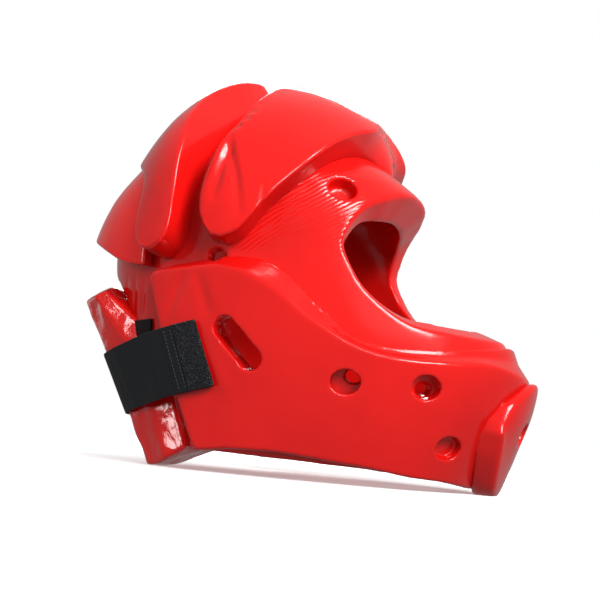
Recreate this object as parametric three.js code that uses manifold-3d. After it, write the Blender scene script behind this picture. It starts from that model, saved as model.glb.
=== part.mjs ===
// Padded training helmet: a dipped foam head guard with raised pads, a jaw layer and a strapped neck pad.
// Millimetres, +Z up. The wearer faces -Y. The origin lies on the floor under the middle of the helmet.

import * as THREE from 'three';
import { mergeVertices } from 'three/addons/utils/BufferGeometryUtils.js';
import Module from 'manifold-3d';

const wasm = await Module();
wasm.setup();

// Foam layers, as lifts above the outside of the shell
const SHELL_WALL = 13;
const SEAM = 0.5;
const PAD_SEAM = 0.95;
const JAW_SEAM = 1.1;
const JAW_LIFT = 11.5;
const JAW_LIP = 5;
const CHIN_TOP_LIFT = 17.5;
const CHIN_BOTTOM_LIFT = 25;
const CHIN_SHOULDER = 2;
const PAD_LIFT = 22;
const PAD_SHOULDER = 3.5;
const CROWN_REAR_LIFT = 15;
const CROWN_CREST_LIFT = 24.5;
const FLAP_WALL = 9;
const FLAP_FLARE = 6.5;
const LOOP_LIFT = 2;

// Openings
const VENT_DIAMETER = 17;
const SMALL_VENT_DIAMETER = 11;
const EAR_SLOT_LENGTH = 43;
const EAR_SLOT_WIDTH = 15;
const BLIND_VENT_DEPTH = 7;
const CUT_REACH = 40;

// Neck pad: a slab that leans back by its tilt, with its inner face this far behind the form's origin.
// Its lower edge is flat from the right, then rises to the left.
const NECK_PAD = { width: 126, length: 125, depth: 27, tilt: 29, corner: 9, round: 5 };
const NECK_PAD_REACH = 51;
const NECK_PAD_MIDDLE = 101;
const NECK_PAD_FLAT = 75;
const NECK_PAD_RISE = 8;

// Strap round the neck pad: its middle falls towards the cheek by its slope
const STRAP_WIDTH = 43;
const STRAP_WALL = 2;
const STRAP_MIDDLE = 98;
const STRAP_SLOPE = 12.4;
const STRAP_LANDING = 36;
const STRAP_CLEAR = 0.4;
const STRAP_END = 12;
const TAB_END = -2;
const TAB_WALL = 2.6;

// The head form, outside the shell: reaches of each level from the middle of the helmet
const HEAD_LEVELS = [
  { up: 0, front: 103, back: -84, half: 84, waist: -38 },
  { up: 40, front: 123, back: -107, half: 88, waist: -38 },
  { up: 60, front: 132, back: -117, half: 89.5, waist: -38 },
  { up: 78, front: 136, back: -126, half: 90.5, waist: -38 },
  { up: 90, front: 133, back: -132, half: 91, waist: -38 },
  { up: 104, front: 126, back: -138, half: 91, waist: -38 },
  { up: 140, front: 104, back: -145, half: 91, waist: -38 },
  { up: 165, front: 88, back: -140, half: 90, waist: -38 },
  { up: 188, front: 71, back: -124, half: 87, waist: -40 },
  { up: 209, front: 45, back: -103, half: 78, waist: -42 },
  { up: 229, front: 17, back: -83, half: 57, waist: -44 },
  { up: 240.5, front: -8, back: -68, half: 35, waist: -45 },
  { up: 247, front: -45, back: -45, half: 0, waist: -45 },
];
const FORM_POWER = 2.15;
const FORM_TOP = HEAD_LEVELS[HEAD_LEVELS.length - 1].up;

// Lower rim of the shell, by bearing from the front
const SHELL_RIM = [
  { bearing: 0, up: 8 },
  { bearing: 45, up: 14 },
  { bearing: 80, up: 19 },
  { bearing: 180, up: 19 },
];

// Right half of the face opening's rim, from the brow's middle round to the mouth's middle
const FACE_RIM = [
  { forward: 72, side: 0, up: 186.5 },
  { forward: 69, side: 11, up: 188 },
  { forward: 63, side: 24, up: 190.5 },
  { forward: 57, side: 40, up: 190 },
  { forward: 51, side: 55, up: 183 },
  { forward: 45, side: 66, up: 174 },
  { forward: 39, side: 74, up: 164 },
  { forward: 35.5, side: 78, up: 154 },
  { forward: 34, side: 79, up: 146 },
  { forward: 37, side: 79.5, up: 139 },
  { forward: 44, side: 78, up: 129 },
  { forward: 56, side: 76, up: 117 },
  { forward: 70, side: 71.5, up: 106 },
  { forward: 85, side: 66, up: 99 },
  { forward: 104, side: 53, up: 97 },
  { forward: 122, side: 32, up: 96.5 },
  { forward: 129, side: 0, up: 98.5 },
];

// Slot at the back of the neck, half width at each height
const BACK_SLOT = [
  { up: -10, half: 78 },
  { up: 20, half: 76 },
  { up: 60, half: 71.5 },
  { up: 95, half: 64 },
  { up: 110, half: 60 },
  { up: 117, half: 53 },
  { up: 122, half: 43 },
  { up: 127, half: 29 },
  { up: 130, half: 12 },
];

// Jaw layer, from the chin's middle to its rear end: its lower edge, then the upper edges of its face and lip
const JAW_ROWS = [
  { low: [107, 0, 8], high: [137, 0, 75], lip: [131, 0, 94] },
  { low: [105, 18, 8], high: [132, 20, 77], lip: [128, 22, 92] },
  { low: [97, 38, 9], high: [122, 42, 79], lip: [117, 45, 88.5] },
  { low: [80, 54, 10.5], high: [106, 56, 78], lip: [102, 58, 86] },
  { low: [61, 67, 12.5], high: [90, 65, 78], lip: [87, 67, 85] },
  { low: [39, 75, 15], high: [74, 73, 78], lip: [68, 75, 85] },
  { low: [20, 80, 16.5], high: [57, 79, 81], lip: [52, 79.5, 88] },
  { low: [6, 83, 18], high: [43, 82, 86.5], lip: [39, 82.5, 95] },
  { low: [-4, 84, 18.5], high: [31, 84.5, 92.5], lip: [30, 84, 104] },
  { low: [-11, 85, 18.5], high: [20, 86, 99], lip: [19, 86, 113] },
  { low: [-17, 85.5, 18.5], high: [9, 88, 107], lip: [9, 87, 122] },
  { low: [-22, 86, 18.5], high: [-3, 89.5, 114.5], lip: [-2, 89, 130] },
  { low: [-26, 86, 18.5], high: [-14, 90, 121], lip: [-12, 90, 133] },
  { low: [-30, 86, 18.5], high: [-26, 91, 125.5], lip: [-25, 91, 134] },
  { low: [-33, 86, 18.5], high: [-38, 91, 127], lip: [-39, 91, 133] },
  { low: [-36, 86.5, 18.5], high: [-52, 90.5, 125], lip: [-54, 90.5, 129] },
  { low: [-39, 86.5, 18.5], high: [-67, 88.5, 124], lip: [-69, 88, 126] },
  { low: [-41, 86.5, 18.5], high: [-81, 84, 121], lip: [-82, 83.5, 122] },
];

// Chin pad: the outline of its base on the jaw layer, then of its raised face
const CHIN_BASE = [
  { low: [108.5, 0, 5], high: [137, 0, 75] },
  { low: [109, 13, 6.5], high: [136, 13, 75] },
  { low: [112, 26, 19], high: [132, 26, 73.5] },
  { low: [118, 33, 40], high: [128, 33, 69.5] },
  { low: [122, 36, 53], high: [125, 36, 61] },
];
const CHIN_FACE = [
  { low: [110, 0, 7], high: [137, 0, 73.5] },
  { low: [110.5, 12, 8.5], high: [136, 12, 73.5] },
  { low: [114, 23, 21], high: [133, 24, 72] },
  { low: [120, 30, 41], high: [130, 30, 68] },
  { low: [123, 33, 53], high: [127, 33, 61] },
];

// Forehead pad: the outline of its base on the shell, then of its raised face
const FOREHEAD_BASE = [
  { low: [49, 0, 207], high: [-33, 0, 246] },
  { low: [41, 18, 211], high: [-34, 20, 244.5] },
  { low: [32, 38, 211], high: [-35, 38, 239] },
  { low: [25, 55, 206], high: [-37, 54, 230] },
  { low: [17, 71, 197], high: [-39, 65, 221] },
  { low: [7, 80, 184], high: [-42, 75, 211] },
  { low: [-5, 87, 171], high: [-46, 82, 199] },
  { low: [-14, 89, 160], high: [-51, 86.5, 184] },
  { low: [-21, 90.5, 149], high: [-55, 89, 168] },
  { low: [-31, 91, 144], high: [-50, 90, 149] },
];
const FOREHEAD_FACE = [
  { low: [21, 0, 222], high: [-27, 0, 246] },
  { low: [25, 20, 217], high: [-27, 20, 244] },
  { low: [29, 38, 208.5], high: [-28, 38, 238.5] },
  { low: [25, 55, 204.5], high: [-29, 54, 229.5] },
  { low: [18, 70, 196], high: [-31, 65, 220.5] },
  { low: [7, 80, 184], high: [-35, 76, 210.5] },
  { low: [-5, 87, 171], high: [-40, 83, 198] },
  { low: [-13, 89, 160], high: [-45, 87.5, 183] },
  { low: [-20, 90.5, 149], high: [-48.5, 89.5, 167] },
  { low: [-29, 91, 143.5], high: [-45, 90.5, 148] },
];

// Crown pad: the same two outlines, low at its rear edge and high at its front edge
const CROWN_BASE = [
  { low: [-128, 0, 194], high: [-40, 0, 246.5] },
  { low: [-125, 22, 193], high: [-41, 20, 245] },
  { low: [-117, 42, 190.5], high: [-43, 38, 239] },
  { low: [-107, 57, 187], high: [-46, 54, 230] },
  { low: [-99, 67, 183], high: [-49, 68, 218.5] },
  { low: [-93, 75, 177], high: [-53, 79.5, 204.5] },
  { low: [-91, 79, 168], high: [-58, 86, 187] },
  { low: [-91.5, 80.5, 156], high: [-61, 88.5, 167] },
  { low: [-90, 82.5, 144], high: [-62, 89.5, 147] },
  { low: [-83, 84.5, 132], high: [-71, 87.5, 132.5] },
];
const CROWN_FACE = [
  { low: [-126, 0, 196], high: [-47, 0, 246] },
  { low: [-123, 22, 195], high: [-49, 20, 244] },
  { low: [-115, 42, 192.5], high: [-54, 38, 237.5] },
  { low: [-105, 57, 189], high: [-60, 54, 228.5] },
  { low: [-97, 67, 185], high: [-62, 67, 218] },
  { low: [-91, 74.5, 179], high: [-62.5, 77, 206] },
  { low: [-89, 78.5, 169], high: [-63, 84, 189] },
  { low: [-89.5, 80, 157], high: [-63, 88, 168] },
  { low: [-88, 82.5, 145], high: [-64.5, 89, 147] },
  { low: [-82, 84.5, 134], high: [-72, 87, 134] },
];

// Back flap: its lower and upper edge, from the middle to its side end
const FLAP_ROWS = [
  { low: [-145, 0, 147], high: [-129, 0, 190.5] },
  { low: [-141, 25, 146.5], high: [-126, 22, 189.5] },
  { low: [-131, 47, 143], high: [-118, 42, 186.5] },
  { low: [-119, 62, 137], high: [-109, 57, 182.5] },
  { low: [-105, 73.5, 129], high: [-100, 68, 176] },
];

// Loop patch: its lower and upper edge, from behind to the front
const LOOP_ROWS = [
  { low: [-95, 67, 52], high: [-99, 70, 93] },
  { low: [-80, 77, 50], high: [-84, 80, 93.5] },
];

// Round vents: where each pierces the shell, and whether it goes through the jaw layer too
const VENTS = [
  { forward: 31, side: 71, up: 184, diameter: VENT_DIAMETER, jaw: false },
  { forward: -42, side: 91, up: 134, diameter: SMALL_VENT_DIAMETER, jaw: true },
  { forward: 46, side: 80, up: 62, diameter: VENT_DIAMETER, jaw: true },
  { forward: 91, side: 64, up: 63, diameter: VENT_DIAMETER, jaw: true },
];
const BROW_VENT = { forward: 57, side: 0, up: 199, diameter: VENT_DIAMETER };
const BLIND_JAW_VENT = { forward: 102, side: 46, up: 29, diameter: VENT_DIAMETER };
const CHIN_VENT = { forward: 130, side: 0, up: 48, diameter: VENT_DIAMETER };
const EAR_SLOT = { start: [-28, 91, 89], end: [-10, 89, 71] };

const SIDES = [
  { name: 'right', sign: -1 },
  { name: 'left', sign: 1 },
];

// Panels of the shell: each lies between two heights, on one side or on both, so that it curves only a little
const SHELL_PANELS = [
  { name: 'shell_cap', low: 215, high: 260, sign: 0 },
  { name: 'shell_crown_right', low: 163.5, high: 215, sign: -1 },
  { name: 'shell_crown_left', low: 163.5, high: 215, sign: 1 },
  { name: 'shell_side_right', low: -10, high: 163.5, sign: -1 },
  { name: 'shell_side_left', low: -10, high: 163.5, sign: 1 },
];

// Finishes
const RED_VINYL = { color: 0xe0201c, roughness: 0.28, metalness: 0 };
const BLACK_ELASTIC = { color: 0x15171a, roughness: 0.85, metalness: 0 };
const BLACK_LOOP = { color: 0x0d0e10, roughness: 0.95, metalness: 0 };

function spot(forward, side, up) {
  return new THREE.Vector3(side, -forward, up);
}

// The form's own origin lies this far behind the middle of the helmet's box
const MIDDLE_SHIFT = 3.7;
const FORM_CENTRE = spot(-38, 0, 130);

// Smooth curve through a column of the level table that never overshoots its rows
function levelCurve(value) {
  const ups = HEAD_LEVELS.map((row) => row.up);
  const values = HEAD_LEVELS.map(value);
  const last = ups.length - 1;
  const steps = ups.slice(1).map((up, i) => up - ups[i]);
  const slopes = steps.map((step, i) => (values[i + 1] - values[i]) / step);
  const tangents = values.map((_, i) => {
    if (i === 0) return slopes[0];
    if (i === last) return slopes[last - 1];
    if (slopes[i - 1] * slopes[i] <= 0) return 0;
    const before = 2 * steps[i] + steps[i - 1];
    const after = steps[i] + 2 * steps[i - 1];
    return (before + after) / (before / slopes[i - 1] + after / slopes[i]);
  });
  return (up) => {
    const at = THREE.MathUtils.clamp(up, ups[0], ups[last]);
    const i = Math.max(ups.findLastIndex((level, k) => level <= at && k < last), 0);
    const t = (at - ups[i]) / steps[i];
    const rise = values[i + 1] - values[i];
    const ease = t * t * (3 - 2 * t);
    const swing = t * (1 - t) * ((1 - t) * tangents[i] - t * tangents[i + 1]) * steps[i];
    return values[i] + rise * ease + swing;
  };
}

const waistAt = levelCurve((row) => row.waist);
const frontSquared = levelCurve((row) => (row.front - row.waist) ** 2);
const backSquared = levelCurve((row) => (row.waist - row.back) ** 2);
const halfSquared = levelCurve((row) => row.half ** 2);

// Below zero inside the head form, above zero outside it
function formValue(point) {
  if (point.z > FORM_TOP) return 1 + point.z - FORM_TOP;
  const ahead = -point.y - waistAt(point.z);
  const reach = Math.sqrt(ahead > 0 ? frontSquared(point.z) : backSquared(point.z)) + 1e-4;
  const half = Math.sqrt(halfSquared(point.z)) + 1e-4;
  return (Math.abs(ahead) / reach) ** FORM_POWER + (Math.abs(point.x) / half) ** FORM_POWER - 1;
}

// The place where a line from the form's centre towards a spot leaves the form
function onForm(towards) {
  const direction = towards.clone().sub(FORM_CENTRE).normalize();
  let inside = 10;
  let outside = 320;
  for (let step = 0; step < 40; step += 1) {
    const middle = (inside + outside) / 2;
    const point = FORM_CENTRE.clone().addScaledVector(direction, middle);
    if (formValue(point) < 0) inside = middle;
    else outside = middle;
  }
  return FORM_CENTRE.clone().addScaledVector(direction, inside);
}

function formNormal(point) {
  const slope = (axis) => {
    const step = new THREE.Vector3().setComponent(axis, 0.4);
    return formValue(point.clone().add(step)) - formValue(point.clone().sub(step));
  };
  return new THREE.Vector3(slope(0), slope(1), slope(2)).normalize();
}

function lifted(towards, lift) {
  const point = onForm(towards);
  return point.addScaledVector(formNormal(point), lift);
}

// How far to the side the lifted form reaches at a given place of the side view
function sideReach(forward, up, lift) {
  const point = spot(forward, 0, up);
  const normal = new THREE.Vector3();
  for (let step = 0; step < 8; step += 1) {
    const y = -forward - lift * normal.y;
    const z = up - lift * normal.z;
    const ahead = -y - waistAt(z);
    const reach = Math.sqrt(ahead > 0 ? frontSquared(z) : backSquared(z));
    const share = Math.max(1 - (Math.abs(ahead) / reach) ** FORM_POWER, 0.05);
    point.set(Math.sqrt(halfSquared(z)) * share ** (1 / FORM_POWER), y, z);
    normal.copy(formNormal(point));
  }
  return point.x + lift * normal.x;
}

// Closed mesh from points and triangles, turned so that its faces point out
function meshGeometry(points, triangles) {
  const volume = triangles.reduce((sum, [a, b, c]) => {
    const cross = points[b].clone().cross(points[c]);
    return sum + points[a].dot(cross);
  }, 0);
  const ordered = volume > 0 ? triangles : triangles.map(([a, b, c]) => [a, c, b]);
  const geometry = new THREE.BufferGeometry();
  geometry.setAttribute('position', new THREE.Float32BufferAttribute(points.flatMap((p) => p.toArray()), 3));
  geometry.setIndex(ordered.flat());
  return geometry;
}

// Closed slab: a grid of points below, a grid above, and rings that join their borders
function slabGeometry(below, above, rings = []) {
  const columns = below.length - 1;
  const rows = below[0].length - 1;
  const border = [];
  for (let i = 0; i < columns; i += 1) border.push([i, 0]);
  for (let j = 0; j < rows; j += 1) border.push([columns, j]);
  for (let i = columns; i > 0; i -= 1) border.push([i, rows]);
  for (let j = rows; j > 0; j -= 1) border.push([0, j]);

  const points = [...below.flat(), ...above.flat()];
  const lower = (i, j) => i * (rows + 1) + j;
  const upper = (i, j) => below.length * (rows + 1) + lower(i, j);
  const triangles = [];
  for (let i = 0; i < columns; i += 1) {
    for (let j = 0; j < rows; j += 1) {
      triangles.push([upper(i, j), upper(i + 1, j), upper(i + 1, j + 1)]);
      triangles.push([upper(i, j), upper(i + 1, j + 1), upper(i, j + 1)]);
      triangles.push([lower(i, j), lower(i + 1, j + 1), lower(i + 1, j)]);
      triangles.push([lower(i, j), lower(i, j + 1), lower(i + 1, j + 1)]);
    }
  }

  const loops = [border.map(([i, j]) => lower(i, j))];
  for (const ring of rings) {
    loops.push(border.map(([i, j]) => points.push(ring[i][j]) - 1));
  }
  loops.push(border.map(([i, j]) => upper(i, j)));
  for (let k = 0; k + 1 < loops.length; k += 1) {
    border.forEach((_, n) => {
      const next = (n + 1) % border.length;
      triangles.push([loops[k][n], loops[k][next], loops[k + 1][next]]);
      triangles.push([loops[k][n], loops[k + 1][next], loops[k + 1][n]]);
    });
  }
  return meshGeometry(points, triangles);
}

// Smooth edge through one column of a row table; a whole pad is mirrored about its first row
function edgeCurve(rows, edge, sign) {
  const near = rows.map((row) => spot(...row[edge]));
  if (sign) return new THREE.CatmullRomCurve3(near.map((p) => p.setX(p.x * sign)));
  const far = near.slice(1).reverse().map((p) => new THREE.Vector3(-p.x, p.y, p.z));
  return new THREE.CatmullRomCurve3([...far, ...near]);
}

// Grid of spots between the two edges of an outline that blends from a base to a face
function outlineGrid({ base, face = base, blend = 0, columns, rows, sign = 0, lift }) {
  const curves = [base, face].map((table) => ({
    low: edgeCurve(table, 'low', sign),
    high: edgeCurve(table, 'high', sign),
  }));
  const grid = [];
  for (let i = 0; i <= columns; i += 1) {
    const along = i / columns;
    const [low, high] = ['low', 'high'].map((edge) => {
      const start = curves[0][edge].getPoint(along);
      return start.lerp(curves[1][edge].getPoint(along), blend);
    });
    const line = [];
    for (let j = 0; j <= rows; j += 1) {
      const across = j / rows;
      line.push(lifted(low.clone().lerp(high, across), lift(along, across)));
    }
    grid.push(line);
  }
  return grid;
}

// A foam pad on the form, with rings that shape its walls between its base and its face
function padGeometry({ base, face, columns, rows, layers }) {
  const grids = layers.map(({ blend, lift }) => {
    const height = typeof lift === 'function' ? lift : () => lift;
    return outlineGrid({ base, face, blend, columns, rows, lift: height });
  });
  return slabGeometry(grids[0], grids.at(-1), grids.slice(1, -1));
}

function toSolid(geometry) {
  const bare = geometry.clone();
  bare.deleteAttribute('normal');
  bare.deleteAttribute('uv');
  const merged = mergeVertices(bare, 1e-4);
  return new wasm.Manifold(new wasm.Mesh({
    numProp: 3,
    vertProperties: new Float32Array(merged.attributes.position.array),
    triVerts: new Uint32Array(merged.index.array),
  }));
}

function toGeometry(solid) {
  const { vertProperties, triVerts } = solid.getMesh();
  const geometry = new THREE.BufferGeometry();
  geometry.setAttribute('position', new THREE.BufferAttribute(new Float32Array(vertProperties), 3));
  geometry.setIndex(new THREE.BufferAttribute(new Uint32Array(triVerts), 1));
  return geometry;
}

function cut(geometry, cutters) {
  const rest = cutters.reduce((solid, cutter) => solid.subtract(toSolid(cutter)), toSolid(geometry));
  return toGeometry(rest);
}

// Round cutter along the form's normal, from one lift to another
function ventCutter(vent, sign, from, to) {
  const middle = onForm(spot(vent.forward, vent.side * sign, vent.up));
  const normal = formNormal(middle);
  const cutter = new THREE.CylinderGeometry(vent.diameter / 2, vent.diameter / 2, to - from, 12);
  const turn = new THREE.Quaternion().setFromUnitVectors(new THREE.Vector3(0, 1, 0), normal);
  cutter.applyQuaternion(turn);
  const place = middle.addScaledVector(normal, (from + to) / 2);
  return cutter.translate(place.x, place.y, place.z);
}

// Long cutter with round ends for the ear slot
function earCutter(sign) {
  const [start, end] = [EAR_SLOT.start, EAR_SLOT.end].map((p) => onForm(spot(p[0], p[1] * sign, p[2])));
  const middle = start.clone().add(end).multiplyScalar(0.5);
  const outward = formNormal(onForm(middle));
  const along = end.clone().sub(start).normalize();
  const across = outward.clone().cross(along).normalize();
  const radius = EAR_SLOT_WIDTH / 2;
  const run = EAR_SLOT_LENGTH / 2 - radius;
  const outline = new THREE.Shape();
  outline.absarc(run, 0, radius, -Math.PI / 2, Math.PI / 2);
  outline.absarc(-run, 0, radius, Math.PI / 2, Math.PI * 1.5);
  const through = { depth: 2 * CUT_REACH, bevelEnabled: false, curveSegments: 5 };
  const slot = new THREE.ExtrudeGeometry(outline, through);
  slot.translate(0, 0, -CUT_REACH);
  const axes = new THREE.Matrix4().makeBasis(along, across, along.clone().cross(across));
  return slot.applyMatrix4(axes.setPosition(middle));
}

// Cone from the form's centre through the rim of the face opening
function faceCutter() {
  const near = FACE_RIM.map((row) => spot(row.forward, row.side, row.up));
  const far = near.slice(1, -1).reverse().map((p) => new THREE.Vector3(-p.x, p.y, p.z));
  const rim = new THREE.CatmullRomCurve3([...near, ...far], true).getPoints(40).slice(0, -1);
  const middle = spot(90, 0, 150);
  const [inside, outside] = [0.2, 1.5];
  const ring = (share) => rim.map((p) => FORM_CENTRE.clone().lerp(p, share));
  const points = [...ring(inside), ...ring(outside)];
  points.push(FORM_CENTRE.clone().lerp(middle, inside), FORM_CENTRE.clone().lerp(middle, outside));
  const count = rim.length;
  const triangles = [];
  for (let n = 0; n < count; n += 1) {
    const next = (n + 1) % count;
    triangles.push([n, next, count + next], [n, count + next, count + n]);
    triangles.push([2 * count, next, n], [2 * count + 1, count + n, count + next]);
  }
  return meshGeometry(points, triangles);
}

function backSlotCutter() {
  const near = BACK_SLOT.map((row) => new THREE.Vector2(row.half, row.up));
  const far = [...near].reverse().map((p) => new THREE.Vector2(-p.x, p.y));
  const outline = new THREE.Shape([...near, ...far]);
  const [front, behind] = [50, 230];
  const cutter = new THREE.ExtrudeGeometry(outline, { depth: behind - front, bevelEnabled: false });
  cutter.rotateX(Math.PI / 2);
  return cutter.translate(0, behind, 0);
}

// Everything below the floor
function floorCutter() {
  const size = { x: 400, y: 500, z: 60 };
  return new THREE.BoxGeometry(size.x, size.y, size.z).translate(0, 0, -size.z / 2);
}

// Height of the shell's lower rim at a bearing from the front, in degrees
function rimHeight(bearing) {
  const turn = Math.abs(((bearing + 180) % 360) - 180);
  const next = Math.max(SHELL_RIM.findIndex((row) => row.bearing >= turn), 1);
  const [from, to] = [SHELL_RIM[next - 1], SHELL_RIM[next]];
  return THREE.MathUtils.mapLinear(turn, from.bearing, to.bearing, from.up, to.up);
}

// The shell: rings of points up to one point at the crown, outside and inside
function shellGeometry() {
  const bearings = 38;
  const levels = 13;
  const outer = [];
  const inner = [];
  for (let i = 0; i < levels; i += 1) {
    for (let k = 0; k < bearings; k += 1) {
      const bearing = (360 * k) / bearings;
      const turn = THREE.MathUtils.degToRad(bearing);
      const rim = rimHeight(bearing);
      const up = rim + (FORM_TOP - rim) * Math.sin((i / levels) * (Math.PI / 2));
      const ahead = Math.cos(turn);
      const reach = Math.sqrt(ahead > 0 ? frontSquared(up) : backSquared(up));
      const forward = waistAt(up) + reach * Math.sign(ahead) * Math.abs(ahead) ** (2 / FORM_POWER);
      const across = Math.sin(turn);
      const side = Math.sqrt(halfSquared(up)) * Math.sign(across) * Math.abs(across) ** (2 / FORM_POWER);
      const point = spot(forward, side, up);
      outer.push(point);
      inner.push(point.clone().addScaledVector(formNormal(point), -SHELL_WALL));
    }
  }
  const crown = spot(HEAD_LEVELS[HEAD_LEVELS.length - 1].waist, 0, FORM_TOP);
  const points = [...outer, crown, ...inner, crown.clone().setZ(FORM_TOP - SHELL_WALL)];
  const insideStart = outer.length + 1;
  const triangles = [];
  for (let k = 0; k < bearings; k += 1) {
    const next = (k + 1) % bearings;
    for (let i = 0; i + 1 < levels; i += 1) {
      const [a, b] = [i * bearings + k, i * bearings + next];
      const [c, d] = [a + bearings, b + bearings];
      triangles.push([a, b, d], [a, d, c]);
      triangles.push([a, d, b].map((n) => n + insideStart), [a, c, d].map((n) => n + insideStart));
    }
    const [a, b] = [(levels - 1) * bearings + k, (levels - 1) * bearings + next];
    triangles.push([a, b, outer.length]);
    triangles.push([b + insideStart, a + insideStart, outer.length + insideStart]);
    triangles.push([k, k + insideStart, next + insideStart], [k, next + insideStart, next]);
  }
  return meshGeometry(points, triangles);
}

function headShell() {
  const cutters = [faceCutter(), backSlotCutter(), ventCutter(BROW_VENT, 1, -CUT_REACH, CUT_REACH)];
  for (const { sign } of SIDES) {
    cutters.push(earCutter(sign));
    VENTS.forEach((vent) => cutters.push(ventCutter(vent, sign, -CUT_REACH, CUT_REACH)));
  }
  return cut(shellGeometry(), cutters);
}

function shellPanel(shell, { low, high, sign }) {
  const size = { x: 240, y: 400, z: high - low - SEAM };
  const room = new THREE.BoxGeometry(size.x, size.y, size.z);
  room.translate((sign * (size.x + SEAM)) / 2, 0, (low + high) / 2);
  return toGeometry(toSolid(shell).intersect(toSolid(room)));
}

function jawGuard() {
  const layer = padGeometry({
    base: JAW_ROWS.map(({ low, lip }) => ({ low, high: lip })),
    face: JAW_ROWS,
    columns: 48,
    rows: 7,
    layers: [
      { blend: 0, lift: JAW_SEAM },
      { blend: 0, lift: JAW_LIP },
      { blend: 0.5, lift: JAW_LIP },
      { blend: 1, lift: JAW_LIFT },
    ],
  });
  const cutters = [];
  for (const { sign } of SIDES) {
    cutters.push(earCutter(sign));
    cutters.push(ventCutter(BLIND_JAW_VENT, sign, JAW_LIFT - BLIND_VENT_DEPTH, CUT_REACH));
    const through = VENTS.filter((vent) => vent.jaw);
    through.forEach((vent) => cutters.push(ventCutter(vent, sign, -CUT_REACH, CUT_REACH)));
  }
  return cut(layer, cutters);
}

// The chin pad is a wedge, thickest along its lower edge
function chinPad() {
  const wedge = (drop) => (along, across) => {
    return THREE.MathUtils.lerp(CHIN_BOTTOM_LIFT, CHIN_TOP_LIFT, across) - drop;
  };
  const pad = padGeometry({
    base: CHIN_BASE,
    face: CHIN_FACE,
    columns: 12,
    rows: 6,
    layers: [
      { blend: 0, lift: JAW_LIFT + SEAM },
      { blend: 0.5, lift: wedge(CHIN_SHOULDER) },
      { blend: 1, lift: wedge(0) },
    ],
  });
  const face = (CHIN_TOP_LIFT + CHIN_BOTTOM_LIFT) / 2;
  return cut(pad, [ventCutter(CHIN_VENT, 1, face - BLIND_VENT_DEPTH, CUT_REACH), floorCutter()]);
}

function raisedPad(base, face, lift) {
  return padGeometry({
    base,
    face,
    columns: 28,
    rows: 6,
    layers: [
      { blend: 0, lift: PAD_SEAM },
      { blend: 0.75, lift: (along, across) => lift(along, across) - PAD_SHOULDER },
      { blend: 1, lift },
    ],
  });
}

// The crown pad is thin at its rear edge and thickest along its crest in front
function crownPad() {
  const lift = (along, across) => {
    const middle = Math.sin(Math.PI * along);
    const rear = (PAD_LIFT - CROWN_REAR_LIFT) * middle * (1 - across) ** 2;
    const crest = (CROWN_CREST_LIFT - PAD_LIFT) * middle * across ** 2;
    return PAD_LIFT - rear + crest;
  };
  return raisedPad(CROWN_BASE, CROWN_FACE, lift);
}

// The flap lifts away from the shell towards its lower edge, most at its middle
function backFlap() {
  const flare = (along, across) => {
    const middle = Math.sin(Math.PI * along);
    return SEAM + FLAP_FLARE * middle * (1 - across) ** 1.5;
  };
  const size = { base: FLAP_ROWS, columns: 16, rows: 4 };
  const below = outlineGrid({ ...size, lift: flare });
  const above = outlineGrid({ ...size, lift: (along, across) => flare(along, across) + FLAP_WALL });
  return slabGeometry(below, above);
}

// Frame of the neck pad: side, up along its length, and outward behind the helmet
const PAD_TILT = THREE.MathUtils.degToRad(NECK_PAD.tilt);
const PAD_UP = new THREE.Vector3(0, Math.sin(PAD_TILT), Math.cos(PAD_TILT));
const PAD_OUT = new THREE.Vector3(0, Math.cos(PAD_TILT), -Math.sin(PAD_TILT));

function padPlace(side, along, out) {
  return new THREE.Vector3(side, 0, 0).addScaledVector(PAD_UP, along).addScaledVector(PAD_OUT, out);
}

function neckPad() {
  const { width, length, depth, corner, round } = NECK_PAD;
  const [x, y] = [width / 2 - round, length / 2 - round];
  const inset = corner - round;
  const outline = new THREE.Shape();
  outline.absarc(x - inset, y - inset, inset, 0, Math.PI / 2);
  outline.absarc(-x + inset, y - inset, inset, Math.PI / 2, Math.PI);
  outline.absarc(-x + inset, -y + inset, inset, Math.PI, Math.PI * 1.5);
  outline.absarc(x - inset, -y + inset, inset, Math.PI * 1.5, Math.PI * 2);
  const slab = new THREE.ExtrudeGeometry(outline, {
    depth: depth - 2 * round,
    bevelThickness: round,
    bevelSize: round,
    bevelSegments: 2,
    curveSegments: 3,
  });
  slab.translate(0, 0, round);
  const axes = new THREE.Matrix4().makeBasis(new THREE.Vector3(-1, 0, 0), PAD_UP, PAD_OUT);
  slab.applyMatrix4(axes.setPosition(padPlace(0, NECK_PAD_MIDDLE, NECK_PAD_REACH)));
  const left = width - NECK_PAD_FLAT;
  const slant = floorCutter().translate(width, 0, 0).rotateY(-Math.atan2(NECK_PAD_RISE, left));
  return cut(slab, [floorCutter(), slant.translate(width / 2 - left, 0, 0)]);
}

// Middle line of the strap in the plane across the neck pad: round its back edge, then out to the cheek
function strapLine() {
  const { width, depth, round } = NECK_PAD;
  const clear = SEAM + STRAP_WALL / 2;
  const bend = new THREE.Vector2(width / 2 - round, NECK_PAD_REACH + depth - round);
  const line = [];
  for (let n = 0; n < 5; n += 1) line.push(new THREE.Vector2((bend.x * n) / 5, bend.y + round + clear));
  for (let n = 0; n <= 5; n += 1) {
    const turn = (Math.PI / 2) * (1 - n / 5);
    const reach = new THREE.Vector2(Math.cos(turn), Math.sin(turn)).multiplyScalar(round + clear);
    line.push(reach.add(bend));
  }
  return line;
}

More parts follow.
